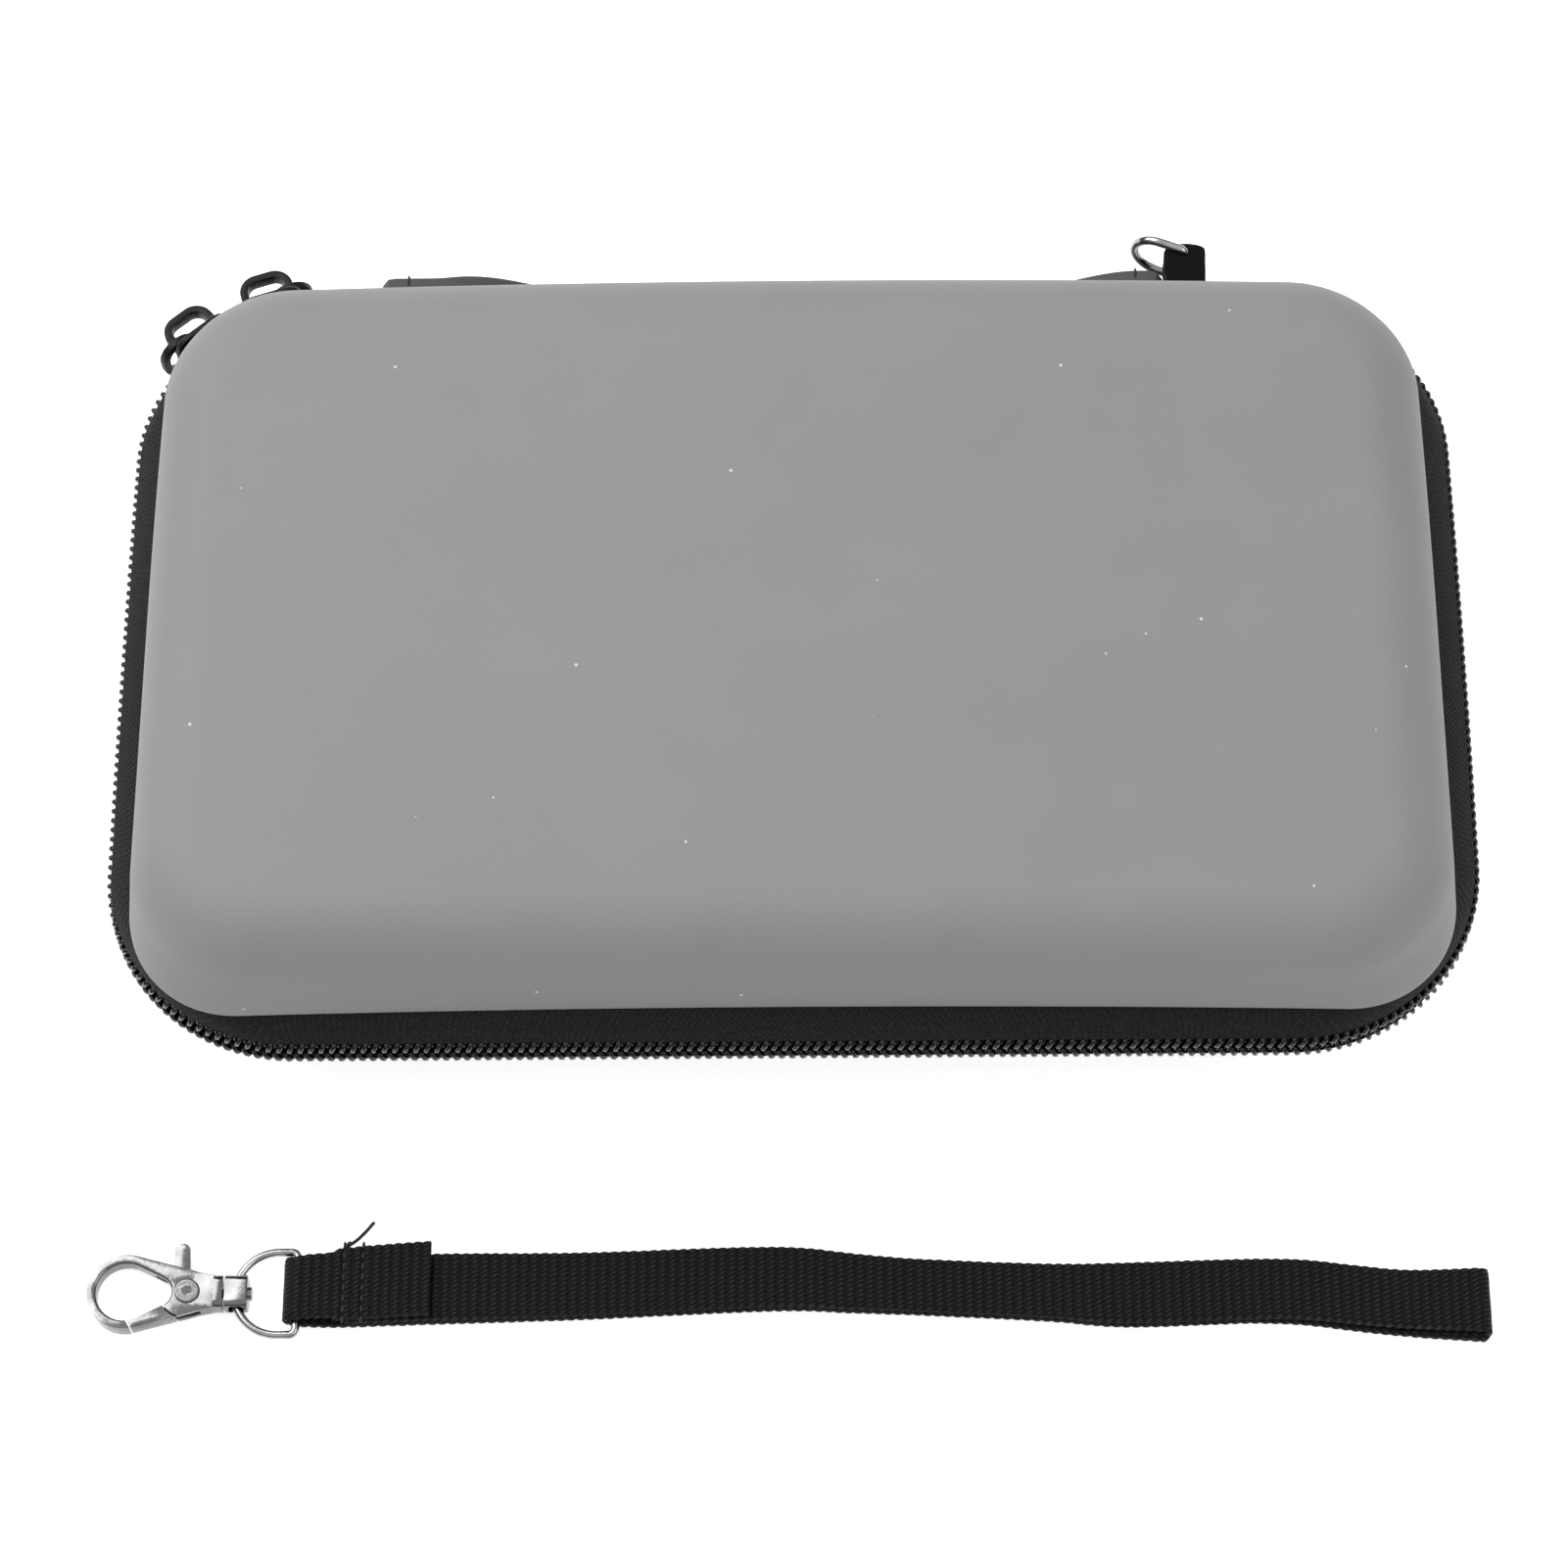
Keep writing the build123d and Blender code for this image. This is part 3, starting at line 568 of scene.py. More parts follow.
def stitch_tree():
    """Stitches of thread along a line."""
    tree, asked, result = new_tree(
        "Stitches",
        [("Stitch", "Float"), ("Gap", "Float"), ("Thread", "Float"), ("Material", "Material")],
    )
    step = calc(tree, "ADD", asked["Stitch"], asked["Gap"])
    points = node(
        tree, "GeometryNodeCurveToPoints", {"Curve": asked["Geometry"], "Length": step}, mode="LENGTH"
    )
    bead = node(tree, "GeometryNodeMeshUVSphere", {"Segments": 8, "Rings": 6, "Radius": 1.0})
    long = calc(tree, "MULTIPLY", asked["Stitch"], 0.5)
    measure = node(
        tree, "ShaderNodeCombineXYZ", {"X": asked["Thread"], "Y": asked["Thread"], "Z": long}
    )
    shape = node(
        tree, "GeometryNodeTransform", {"Geometry": bead.outputs[0], "Scale": measure.outputs[0]}
    )
    sewn = node(
        tree,
        "GeometryNodeInstanceOnPoints",
        {
            "Points": points.outputs["Points"],
            "Instance": shape.outputs[0],
            "Rotation": points.outputs["Rotation"],
        },
    )
    return end_tree(tree, asked, result, sewn.outputs[0])


def net_tree():
    """Yarn along every edge of a lattice."""
    tree, asked, result = new_tree("Net", [("Yarn", "Float"), ("Material", "Material")])
    lines = node(tree, "GeometryNodeMeshToCurve", {"Mesh": asked["Geometry"]})
    section = node(tree, "GeometryNodeCurvePrimitiveCircle", {"Resolution": 4, "Radius": asked["Yarn"]})
    yarn = node(
        tree,
        "GeometryNodeCurveToMesh",
        {"Curve": lines.outputs[0], "Profile Curve": section.outputs[0], "Fill Caps": True},
    )
    return end_tree(tree, asked, result, yarn.outputs[0])


TREES = {"Zip coil": coil_tree, "Ribbed band": webbing_tree, "Stitches": stitch_tree, "Net": net_tree}


def grown(tree_name, source, values):
    """Runs a geometry tree on an object's data and returns the result as a plain mesh."""
    tree = bpy.data.node_groups.get(tree_name) or TREES[tree_name]()
    carrier = bpy.data.objects.new("carrier", source)
    bpy.context.scene.collection.objects.link(carrier)
    modifier = carrier.modifiers.new(tree_name, "NODES")
    modifier.node_group = tree
    for item in tree.interface.items_tree:
        if item.in_out == "INPUT" and item.name in values:
            modifier[item.identifier] = values[item.name]
    depsgraph = bpy.context.evaluated_depsgraph_get()
    mesh = bpy.data.meshes.new_from_object(
        carrier.evaluated_get(depsgraph), preserve_all_data_layers=True, depsgraph=depsgraph
    )
    bpy.data.objects.remove(carrier)
    return mesh


def line_curve(lines, closed=False, shares=None):
    """A curve of straight-run lines through points, with a radius for each point where shares are given."""
    curve = bpy.data.curves.new("line", "CURVE")
    curve.dimensions = "3D"
    for points in lines:
        spline = curve.splines.new("POLY")
        spline.points.add(len(points) - 1)
        spline.use_cyclic_u = closed
        for number, point in enumerate(points):
            spline.points[number].co = (*point, 1.0)
            spline.points[number].radius = shares[number] if shares else 1.0
    return curve


def smooth_line(points):
    """Points of a smooth curve through a few chosen points."""
    parts = 12
    places = [Vector(point) for point in points]
    places = [2 * places[0] - places[1]] + places + [2 * places[-1] - places[-2]]
    line = []
    for before, start, end, after in zip(places, places[1:], places[2:], places[3:]):
        for part in range(parts):
            t = part / parts
            line.append(
                0.5
                * (
                    2 * start
                    + (end - before) * t
                    + (2 * before - 5 * start + 4 * end - after) * t**2
                    + (3 * start - before - 3 * end + after) * t**3
                )
            )
    return line + [places[-2]]


def stitched(context, lines, closed=False, **changed):
    """Thread sewn along lines, in the straps' own stitch where nothing is changed."""
    straps = settings(context)[1]
    values = {
        "Stitch": straps.stitch,
        "Gap": straps.stitch_gap,
        "Thread": straps.thread,
        "Material": finish("thread_black", context),
        **changed,
    }
    return grown("Stitches", line_curve(lines, closed), values)


def ribbed_band(line, side, width, thickness, ribs, material, shares=None, unevenness=0.0):
    """A band of cloth along a line, with the pitch and height of its ribs."""
    pitch, height = ribs
    values = {
        "Side": side,
        "Width": width,
        "Thickness": thickness,
        "Rib Pitch": pitch,
        "Rib Height": height,
        "Unevenness": unevenness,
        "Material": material,
    }
    return grown("Ribbed band", line_curve([line], shares=shares), values)


# Mesh helpers.


def keep(name, mesh, body, slot, *nodes):
    """Makes a mesh a piece: it rides on a body and stands for nodes; its slot is not used."""
    piece = bpy.data.objects.new(name, mesh)
    bpy.context.scene.collection.objects.link(piece)
    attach(piece, body)
    if nodes:
        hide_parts(*nodes)
    return piece


def ended(shape, name, material, crease=40.0):
    """Turns an edited mesh into a plain one with its finish and soft shading."""
    bmesh.ops.recalc_face_normals(shape, faces=shape.faces)
    mesh = bpy.data.meshes.new(name)
    shape.to_mesh(mesh)
    shape.free()
    mesh.materials.append(material)
    mesh.shade_smooth()
    mesh.set_sharp_from_angle(angle=math.radians(crease))
    return mesh


def distances(ring):
    """Running distances round a closed ring of points."""
    far = [0.0]
    for first, second in zip(ring, ring[1:] + ring[:1]):
        far.append(far[-1] + (second - first).length)
    return far


def swept(name, rows, material):
    """A mesh over rings of points closed both ways, with distances along and across them as its map."""
    shape = bmesh.new()
    grid = [[shape.verts.new(point) for point in row] for row in rows]
    layer = shape.loops.layers.uv.new(UV_NAME)
    middle = rows[len(rows) // 2]
    along = distances(middle)
    across = distances([row[0] for row in rows])
    for row in range(len(rows)):
        below = (row + 1) % len(rows)
        for point in range(len(middle)):
            right = (point + 1) % len(middle)
            face = shape.faces.new(
                (grid[row][point], grid[row][right], grid[below][right], grid[below][point])
            )
            places = [(point, row), (point + 1, row), (point + 1, row + 1), (point, row + 1)]
            for loop, (step, level) in zip(face.loops, places):
                loop[layer].uv = (along[step], across[level])
    return ended(shape, name, material)


def capped_tube(name, rings, material):
    """A closed mesh over rings of points, with both ends filled."""
    shape = bmesh.new()
    grid = [[shape.verts.new(point) for point in ring] for ring in rings]
    layer = shape.loops.layers.uv.new(UV_NAME)
    count = len(rings[0])
    around = distances(rings[0])
    along = 0.0
    for lower, upper, first, second in zip(grid, grid[1:], rings, rings[1:]):
        step = (second[0] - first[0]).length
        for place in range(count):
            right = (place + 1) % count
            face = shape.faces.new((lower[place], lower[right], upper[right], upper[place]))
            spots = [(along, place), (along, place + 1), (along + step, place + 1), (along + step, place)]
            for loop, (far, turn) in zip(face.loops, spots):
                loop[layer].uv = (far, around[turn])
        along += step
    shape.faces.new(list(reversed(grid[0])))
    shape.faces.new(grid[-1])
    return ended(shape, name, material)


def softened(name, cad_node, material, edge):
    """A copy of a node's mesh with its sharp edges rounded over."""
    same_point = 0.002 * MM
    flat_below = math.radians(1.0)
    sharp_above = math.radians(30.0)
    shape = bmesh.new()
    shape.from_mesh(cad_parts[cad_node].data)
    bmesh.ops.remove_doubles(shape, verts=shape.verts, dist=same_point)
    bmesh.ops.dissolve_limit(shape, angle_limit=flat_below, verts=shape.verts, edges=shape.edges)
    sharp = [
        line
        for line in shape.edges
        if len(line.link_faces) == 2 and line.calc_face_angle(0.0) > sharp_above
    ]
    bmesh.ops.bevel(
        shape,
        geom=sharp,
        offset=edge,
        offset_type="OFFSET",
        segments=2,
        profile=0.5,
        affect="EDGES",
        clamp_overlap=True,
    )
    bmesh.ops.triangulate(shape, faces=shape.faces)
    return ended(shape, name, material, 35.0)


def dressed(cad_node, material):
    """Gives a node its finish."""
    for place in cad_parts[cad_node].material_slots:
        place.material = material


def rounded_outline(width, depth, corner, level):
    """Points round a rounded rectangle, anticlockwise from above, from the middle of the back."""
    side_steps = 14
    corner_steps = 40
    half_x = width / 2 - corner
    half_y = depth / 2 - corner
    centres = [(-half_x, half_y), (-half_x, -half_y), (half_x, -half_y), (half_x, half_y)]
    points = [Vector((0.0, depth / 2, level))]
    for quarter, (x, y) in enumerate(centres):
        start = math.radians(90 + 90 * quarter)
        first = Vector((x + corner * math.cos(start), y + corner * math.sin(start), level))
        last = points[-1].copy()
        points += [last.lerp(first, step / side_steps) for step in range(1, side_steps)]
        for step in range(corner_steps + 1):
            turn = start + math.radians(90) * step / corner_steps
            points.append(Vector((x + corner * math.cos(turn), y + corner * math.sin(turn), level)))
    last = points[-1].copy()
    points += [last.lerp(points[0], step / side_steps) for step in range(1, side_steps)]
    return points


class CasePlan:
    """Outlines and levels of one half of the case as it stands on the lid, from the frame and the sizes."""

    def __init__(self, sizes, corner):
        low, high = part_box("upper_zip_coil")
        self.sizes = sizes
        self.corner = corner
        self.width = high.x - low.x
        self.depth = high.y - low.y
        self.coil_low = low.z
        self.coil_high = high.z
        self.lid_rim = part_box("top_shell")[0].z
        self.zip_level = (low.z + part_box("lower_zip_coil")[1].z) / 2
        self.spine_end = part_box("spine")[1].x

    def chain(self, inset, level):
        """The chain's outline, brought in by an inset, with its short sides bowed out."""
        corner = self.sizes.zip_corner - inset
        ring = rounded_outline(self.width - 2 * inset, self.depth - 2 * inset, corner, level)
        for point in ring:
            along = 2 * point.y / self.depth
            point.x *= 1 + self.sizes.chain_bow * (1 - along**2) / (self.width / 2)
        return ring

    def rim(self, inset, level):
        """The rim's outline, brought in by an inset."""
        inward = inset + self.sizes.rim_inset
        corner = self.corner - inset
        return rounded_outline(self.width - 2 * inward, self.depth - 2 * inward, corner, level)

    def lean(self, level):
        """How far the wall has leaned in at a level above the rim."""
        return (level - self.lid_rim) * math.tan(self.sizes.wall_lean)

    def mirrored(self, rows):
        """The base's copy of rows of points."""
        return [[Vector((p.x, p.y, 2 * self.zip_level - p.z)) for p in row] for row in rows]

    def corner_angle(self, point):
        """A point's angle round the left back corner, below 0 on the straight back; none in front of it."""
        centre_x = -self.width / 2 + self.sizes.zip_corner
        centre_y = self.depth / 2 - self.sizes.zip_corner
        if point.y < centre_y:
            return None
        return math.atan2(centre_x - point.x, point.y - centre_y)

    def before_notch(self, point):
        """Whether a point lies on the short stretch between the spine and the sliders."""
        angle = self.corner_angle(point)
        if angle is None or point.x > 0:
            return False
        return angle < self.sizes.notch_from / self.sizes.zip_corner

    def in_notch(self, point):
        """Whether a point lies in the gap behind the sliders."""
        angle = self.corner_angle(point)
        first = self.sizes.notch_from / self.sizes.zip_corner
        last = self.sizes.notch_to / self.sizes.zip_corner
        return angle is not None and first <= angle <= last


# Case operators.


class CASE_OT_shells(bpy.types.Operator):
    """Moulds the lid with its flared corners and gives both shells their matte grey skin"""

    bl_idname = "case.shells"
    bl_label = "Shells"

    def execute(self, context):
        sizes = settings(context)[0]
        material = finish("shell_skin", context)
        mesh = capped_tube("lid_moulding", self.lid_rings(sizes), material)
        keep("lid_moulding", mesh, "lid", "shell_grey", "top_shell")
        dressed("bottom_shell", material)
        return {"FINISHED"}

    def lid_rings(self, sizes):
        """Rings over the lid from its ceiling, down inside, round the lip and up to the top."""
        plan = CasePlan(sizes, sizes.lid_corner)
        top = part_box("top_shell")[1].z
        round_steps = 12
        wall_steps = 5
        quarter = [math.radians(90 * step / round_steps) for step in range(round_steps + 1)]
        spots = []
        for turn in reversed(quarter):
            inset = sizes.wall + sizes.lid_inner_round * (1 - math.cos(turn))
            drop = sizes.lid_inner_round * (1 - math.sin(turn))
            spots.append((inset, top - sizes.wall - drop))
        spots.append((sizes.wall, plan.lid_rim))
        for turn in quarter[::3]:
            inset = sizes.lip_round * (1 - math.sin(turn))
            spots.append((inset, plan.lid_rim + sizes.lip_round * (1 - math.cos(turn))))
        wall_low = plan.lid_rim + sizes.lip_round
        wall_high = top - sizes.lid_round
        climb = wall_high - wall_low
        spots += [(0.0, wall_low + climb * step / wall_steps) for step in range(1, wall_steps)]
        for turn in quarter:
            inset = sizes.lid_round * (1 - math.cos(turn))
            spots.append((inset, wall_high + sizes.lid_round * math.sin(turn)))
        return [self.lid_ring(plan, sizes, wall_high, inset, level) for inset, level in spots]

    def lid_ring(self, plan, sizes, wall_high, inset, level):
        """The lid's outline at a level: corners flared at the lip, sides drawn in between them."""
        climb = min(1.0, (level - plan.lid_rim) / (wall_high - plan.lid_rim))
        inward = sizes.rim_inset + plan.lean(level) + inset
        half_x = plan.width / 2 - inward + sizes.flare_side * (1 - climb)
        half_y = plan.depth / 2 - inward + sizes.flare_front * (1 - climb)
        corner = sizes.lid_corner_low + (sizes.lid_corner_high - sizes.lid_corner_low) * climb - inset
        crown_middle = 0.6
        crown_fall = 2.0
        ring = rounded_outline(2 * half_x, 2 * half_y, corner, level)
        for point in ring:
            across = point.x / half_x
            along = point.y / half_y
            point.x -= across * (1 - along**2) * sizes.bow_side * (1 - climb)
            point.y -= along * (1 - across**2) * sizes.bow_front * (1 - climb)
            to_back = max(0.0, along)
            point.x -= across * to_back**2 * sizes.narrow_back
            point.y += to_back * (crown_middle - crown_fall * across**2) * sizes.back_crown
        return ring


class CASE_OT_zip_tapes(bpy.types.Operator):
    """Makes both zip tapes as woven cloth that slopes in under the rims"""

    bl_idname = "case.zip_tapes"
    bl_label = "Zip Tapes"

    def execute(self, context):
        sizes = settings(context)[0]
        material = finish("tape_weave", context)
        plan = CasePlan(sizes, sizes.lid_corner)
        mesh = swept("upper_tape", self.tape_rows(plan, sizes, notched=True), material)
        keep("upper_tape_cloth", mesh, "lid", "tape_black", "upper_zip_tape")
        plan = CasePlan(sizes, sizes.base_corner)
        rows = plan.mirrored(self.tape_rows(plan, sizes, notched=False))
        mesh = swept("lower_tape", rows, material)
        keep("lower_tape_cloth", mesh, "base", "tape_black", "lower_zip_tape")
        return {"FINISHED"}

    def tape_rows(self, plan, sizes, notched):
        """Rows of points round the tape's section: outer side up, ledge, margin, inner side down."""
        slope_steps = 7
        belly = 0.25 * MM
        fade = sizes.fold_gone - sizes.fold_fades
        climb = plan.lid_rim - plan.coil_high

        def on_tape(depth, level, over=0.0):
            """The tape's line at a depth behind its outer side and a level, folded out over the coil."""
            flat = plan.chain(sizes.coil_thick + depth, level)
            folded = plan.chain(sizes.coil_thick + depth - over, level)
            rim = plan.rim(sizes.tape_tuck + depth, level)
            row = []
            for plain, fold, inner in zip(flat, folded, rim):
                to_back = min(1.0, max(0.0, (fold.y - sizes.fold_fades) / fade))
                outer = fold.lerp(plain, to_back)
                height = level
                if notched and plan.in_notch(outer):
                    height = max(level, sizes.notch_top)
                share = max(0.0, (height - plan.coil_high) / climb)
                point = outer.lerp(inner, share)
                away = Vector((point.x, point.y, 0.0)).normalized()
                point += away * (math.sin(math.pi * share) * belly)
                point.z = height
                row.append(point)
            return row

        levels = [plan.coil_low, plan.coil_high]
        levels += [plan.coil_high + climb * step / slope_steps for step in range(1, slope_steps + 1)]
        margin_top = plan.lid_rim + sizes.margin_height
        lean = plan.lean(margin_top)
        margin_back = sizes.wall + sizes.margin_thick
        rows = [on_tape(0.0, level) for level in levels[:2]]
        rows.append(on_tape(0.0, plan.coil_high + HAIR, sizes.tape_over))
        rows += [on_tape(0.0, level, sizes.tape_over) for level in levels[2:]]
        rows.append(plan.rim(sizes.wall, plan.lid_rim))
        rows.append(plan.rim(sizes.wall + lean, margin_top))
        rows.append(plan.rim(margin_back + lean, margin_top))
        rows.append(plan.rim(margin_back, plan.lid_rim - sizes.tape_thick))
        rows += [on_tape(sizes.tape_thick, level) for level in reversed(levels[:-1])]
        return rows


class CASE_OT_zip_coils(bpy.types.Operator):
    """Winds the two nylon coils along the chain"""

    bl_idname = "case.zip_coils"
    bl_label = "Zip Coils"

    def execute(self, context):
        sizes = settings(context)[0]
        plan = CasePlan(sizes, sizes.lid_corner)
        half_high = (plan.coil_high - plan.coil_low) / 2
        values = {
            "Pitch": sizes.coil_pitch,
            "Half High": half_high - sizes.coil_wire,
            "Half Thick": sizes.coil_thick / 2 - sizes.coil_wire,
            "Wire": sizes.coil_wire,
            "Material": finish("coil_nylon", context),
        }
        path = self.open_chain(plan, sizes, (plan.coil_high + plan.coil_low) / 2)
        first = [point for point in path if plan.before_notch(point)]
        rest = [point for point in path if not (plan.before_notch(point) or plan.in_notch(point))]
        upper = grown("Zip coil", line_curve([first, rest]), {**values, "Lean": 1.0})
        keep("upper_coil_wire", upper, "lid", "coil_black", "upper_zip_coil")
        lower = grown("Zip coil", line_curve(plan.mirrored([path])), {**values, "Lean": -1.0})
        keep("lower_coil_wire", lower, "base", "coil_black", "lower_zip_coil")
        return {"FINISHED"}

    def open_chain(self, plan, sizes, level):
        """The coil's middle line, open along the spine."""
        end = plan.spine_end + sizes.coil_end_gap + sizes.coil_wire
        outline = plan.chain(sizes.coil_thick / 2, level)
        back = outline[0].y
        path = [Vector((-end, back, level))]
        path += [p for p in outline if abs(p.x) > end or p.y < back - HAIR / 2]
        return path + [Vector((end, back, level))]


class CASE_OT_sliders(bpy.types.Operator):
    """Rounds and paints the two zip sliders and their pulls"""

    bl_idname = "case.sliders"
    bl_label = "Sliders"

    def execute(self, context):
        material = finish("slider_paint", context)
        edge = 0.16 * MM
        owners = {
            "zip_slider_back": "base",
            "zip_slider_corner": "corner_slider",
            "zip_pull_back": "back_pull",
            "zip_pull_corner": "corner_pull",
        }
        for cad_node, body in owners.items():
            mesh = softened(cad_node + "_soft", cad_node, material, edge)
            keep(cad_node + "_soft", mesh, body, "metal_black", cad_node)
        return {"FINISHED"}


class CASE_OT_bindings(bpy.types.Operator):
    """Makes the woven bindings inside both rims, with their sewn rows"""

    bl_idname = "case.bindings"
    bl_label = "Bindings"

    def execute(self, context):
        sizes = settings(context)[0]
        soft = 0.25 * MM
        thread_down = 1.3 * MM
        low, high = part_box("lid_binding")
        inset = sizes.wall + sizes.margin_thick
        face = inset + sizes.binding_thick
        section = [
            (inset, low.z),
            (inset, high.z - soft),
            (inset + soft, high.z),
            (face - soft, high.z),
            (face, high.z - soft),
            (face, low.z + soft),
            (face - soft, low.z),
        ]
        material = finish("binding_weave", context)
        for side, corner in (("lid", sizes.lid_corner), ("base", sizes.base_corner)):
            plan = CasePlan(sizes, corner)
            rows = [plan.rim(depth + plan.lean(level), level) for depth, level in section]
            rows.append(plan.rim(face + plan.lean(high.z) + HAIR, high.z - thread_down))
            if side == "base":
                rows = plan.mirrored(rows)
            thread = rows.pop()
            mesh = swept(side + "_binding_cloth", rows, material)
            keep(side + "_binding_cloth", mesh, side, "binding_black", side + "_binding")
            row = stitched(context, [thread], closed=True)
            keep(side + "_binding_stitches", row, side, "binding_black")
        return {"FINISHED"}


class CASE_OT_mesh_pocket(bpy.types.Operator):
    """Knits the lid's net pocket and its elastic hem"""

    bl_idname = "case.mesh_pocket"
    bl_label = "Mesh Pocket"

    def execute(self, context):
        sizes = settings(context)[0]
        ribs = (ELASTIC_PITCH, 0.12 * MM)
        row_out = 1.6 * MM
        row_up = 0.05 * MM
        low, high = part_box("mesh_pocket")
        level = (low.z + high.z) / 2
        lattice = self.lattice(sizes, low, high, level)
        values = {"Yarn": sizes.net_yarn, "Material": finish("net_yarn", context)}
        net = keep("pocket_net", grown("Net", lattice, values), "lid", "mesh_black", "mesh_pocket")
        hem_low, hem_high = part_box("pocket_hem")
        wide = hem_high.y - hem_low.y
        thick = hem_high.z - hem_low.z
        mouth = (hem_low.y + hem_high.y) / 2
        ends = (hem_low.x, 0.0, hem_high.x)
        line = [(x, mouth, level) for x in ends]
        band = ribbed_band(line, (0.0, 1.0, 0.0), wide, thick, ribs, finish("elastic_weave", context))
        hem = keep("pocket_hem_elastic", band, "lid", "elastic_black", "pocket_hem")
        rows = [[(x, mouth + side * row_out, hem_low.z + row_up) for x in ends] for side in (-1, 1)]
        stitches = keep("pocket_hem_stitches", stitched(context, rows), "lid", "elastic_black")
        return {"FINISHED"}

    def lattice(self, sizes, low, high, level):
        """Hexagon edges over the pocket, kept inside its rounded back corners."""
        side = sizes.net_pitch / math.sqrt(3)
        corner = sizes.lid_corner - sizes.wall - sizes.margin_thick - sizes.binding_thick
        columns = int((high.x - low.x) / sizes.net_pitch) + 2
        rows = int((high.y - low.y) / (1.5 * side)) + 2

        def inside(x, y):
            """Whether a point lies on the pocket."""
            if not (low.x < x < high.x and low.y < y < high.y):
                return False
            past_x = abs(x) - (high.x - corner)
            past_y = y - (high.y - corner)
            return past_x < 0 or past_y < 0 or math.hypot(past_x, past_y) < corner

        places = {}
        lines = set()
        for row in range(rows):
            y = low.y + 1.5 * side * row
            for column in range(columns):
                x = low.x + sizes.net_pitch * (column + 0.5 * (row % 2))
                ring = []
                for turn in range(6):
                    angle = math.radians(30 + 60 * turn)
                    corner_x = x + side * math.cos(angle)
                    corner_y = y + side * math.sin(angle)
                    key = (round(corner_x / MM, 2), round(corner_y / MM, 2))
                    ring.append(key if inside(corner_x, corner_y) else None)
                    if ring[-1]:
                        places.setdefault(key, len(places))
                for first, second in zip(ring, ring[1:] + ring[:1]):
                    if first and second:
                        lines.add(tuple(sorted((places[first], places[second]))))
        mesh = bpy.data.meshes.new("lattice")
        points = [(key[0] * MM, key[1] * MM, level) for key in places]
        mesh.from_pydata(points, sorted(lines), [])
        return mesh


class CASE_OT_console_strap(bpy.types.Operator):
    """Lays the elastic strap across the base's floor"""

    bl_idname = "case.console_strap"
    bl_label = "Console Strap"

    def execute(self, context):
        ribs = (ELASTIC_PITCH, 0.1 * MM)
        inset = 1.6 * MM
        near_end = 2.0 * MM
        far_end = 8.0 * MM
        low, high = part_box("console_strap")
        flat = (high.x - low.x, high.y - low.y)
        level = (low.z + high.z) / 2
        line = [(0.0, y, level) for y in (low.y, 0.0, high.y)]
        cloth = finish("elastic_weave", context)
        band = ribbed_band(line, (1.0, 0.0, 0.0), flat[0], high.z - low.z, ribs, cloth)
        strap = keep("console_strap_elastic", band, "base", "elastic_black", "console_strap")
        lines = []
        for end, inward in ((low.y, 1), (high.y, -1)):
            near = end + inward * near_end
            far = end + inward * far_end
            for start, stop in ((near, near), (far, far), (near, far), (far, near)):
                lines.append([(low.x + inset, start, high.z), (high.x - inset, stop, high.z)])
        stitches = keep("console_strap_stitches", stitched(context, lines), "base", "elastic_black")
        return {"FINISHED"}


class CASE_OT_spine(bpy.types.Operator):
    """Makes the woven spine that joins lid and base, with its two sewn rows"""

    bl_idname = "case.spine"
    bl_label = "Spine"

    def execute(self, context):
        ribs = (0.8 * MM, 0.08 * MM)
        inset = 1.1 * MM
        low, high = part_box("spine")
        middle_y = (low.y + high.y) / 2
        level = (low.z + high.z) / 2
        line = [(x, middle_y, level) for x in (low.x, 0.0, high.x)]
        cloth = finish("spine_weave", context)
        band = ribbed_band(line, (0.0, 0.0, 1.0), high.z - low.z, high.y - low.y, ribs, cloth)
        keep("spine_cloth", band, "base", "spine_black", "spine")
        lines = [
            [(low.x + inset, high.y, z), (high.x - inset, high.y, z)]
            for z in (low.z + inset, high.z - inset)
        ]
        keep("spine_stitches", stitched(context, lines), "base", "spine_black")
        return {"FINISHED"}


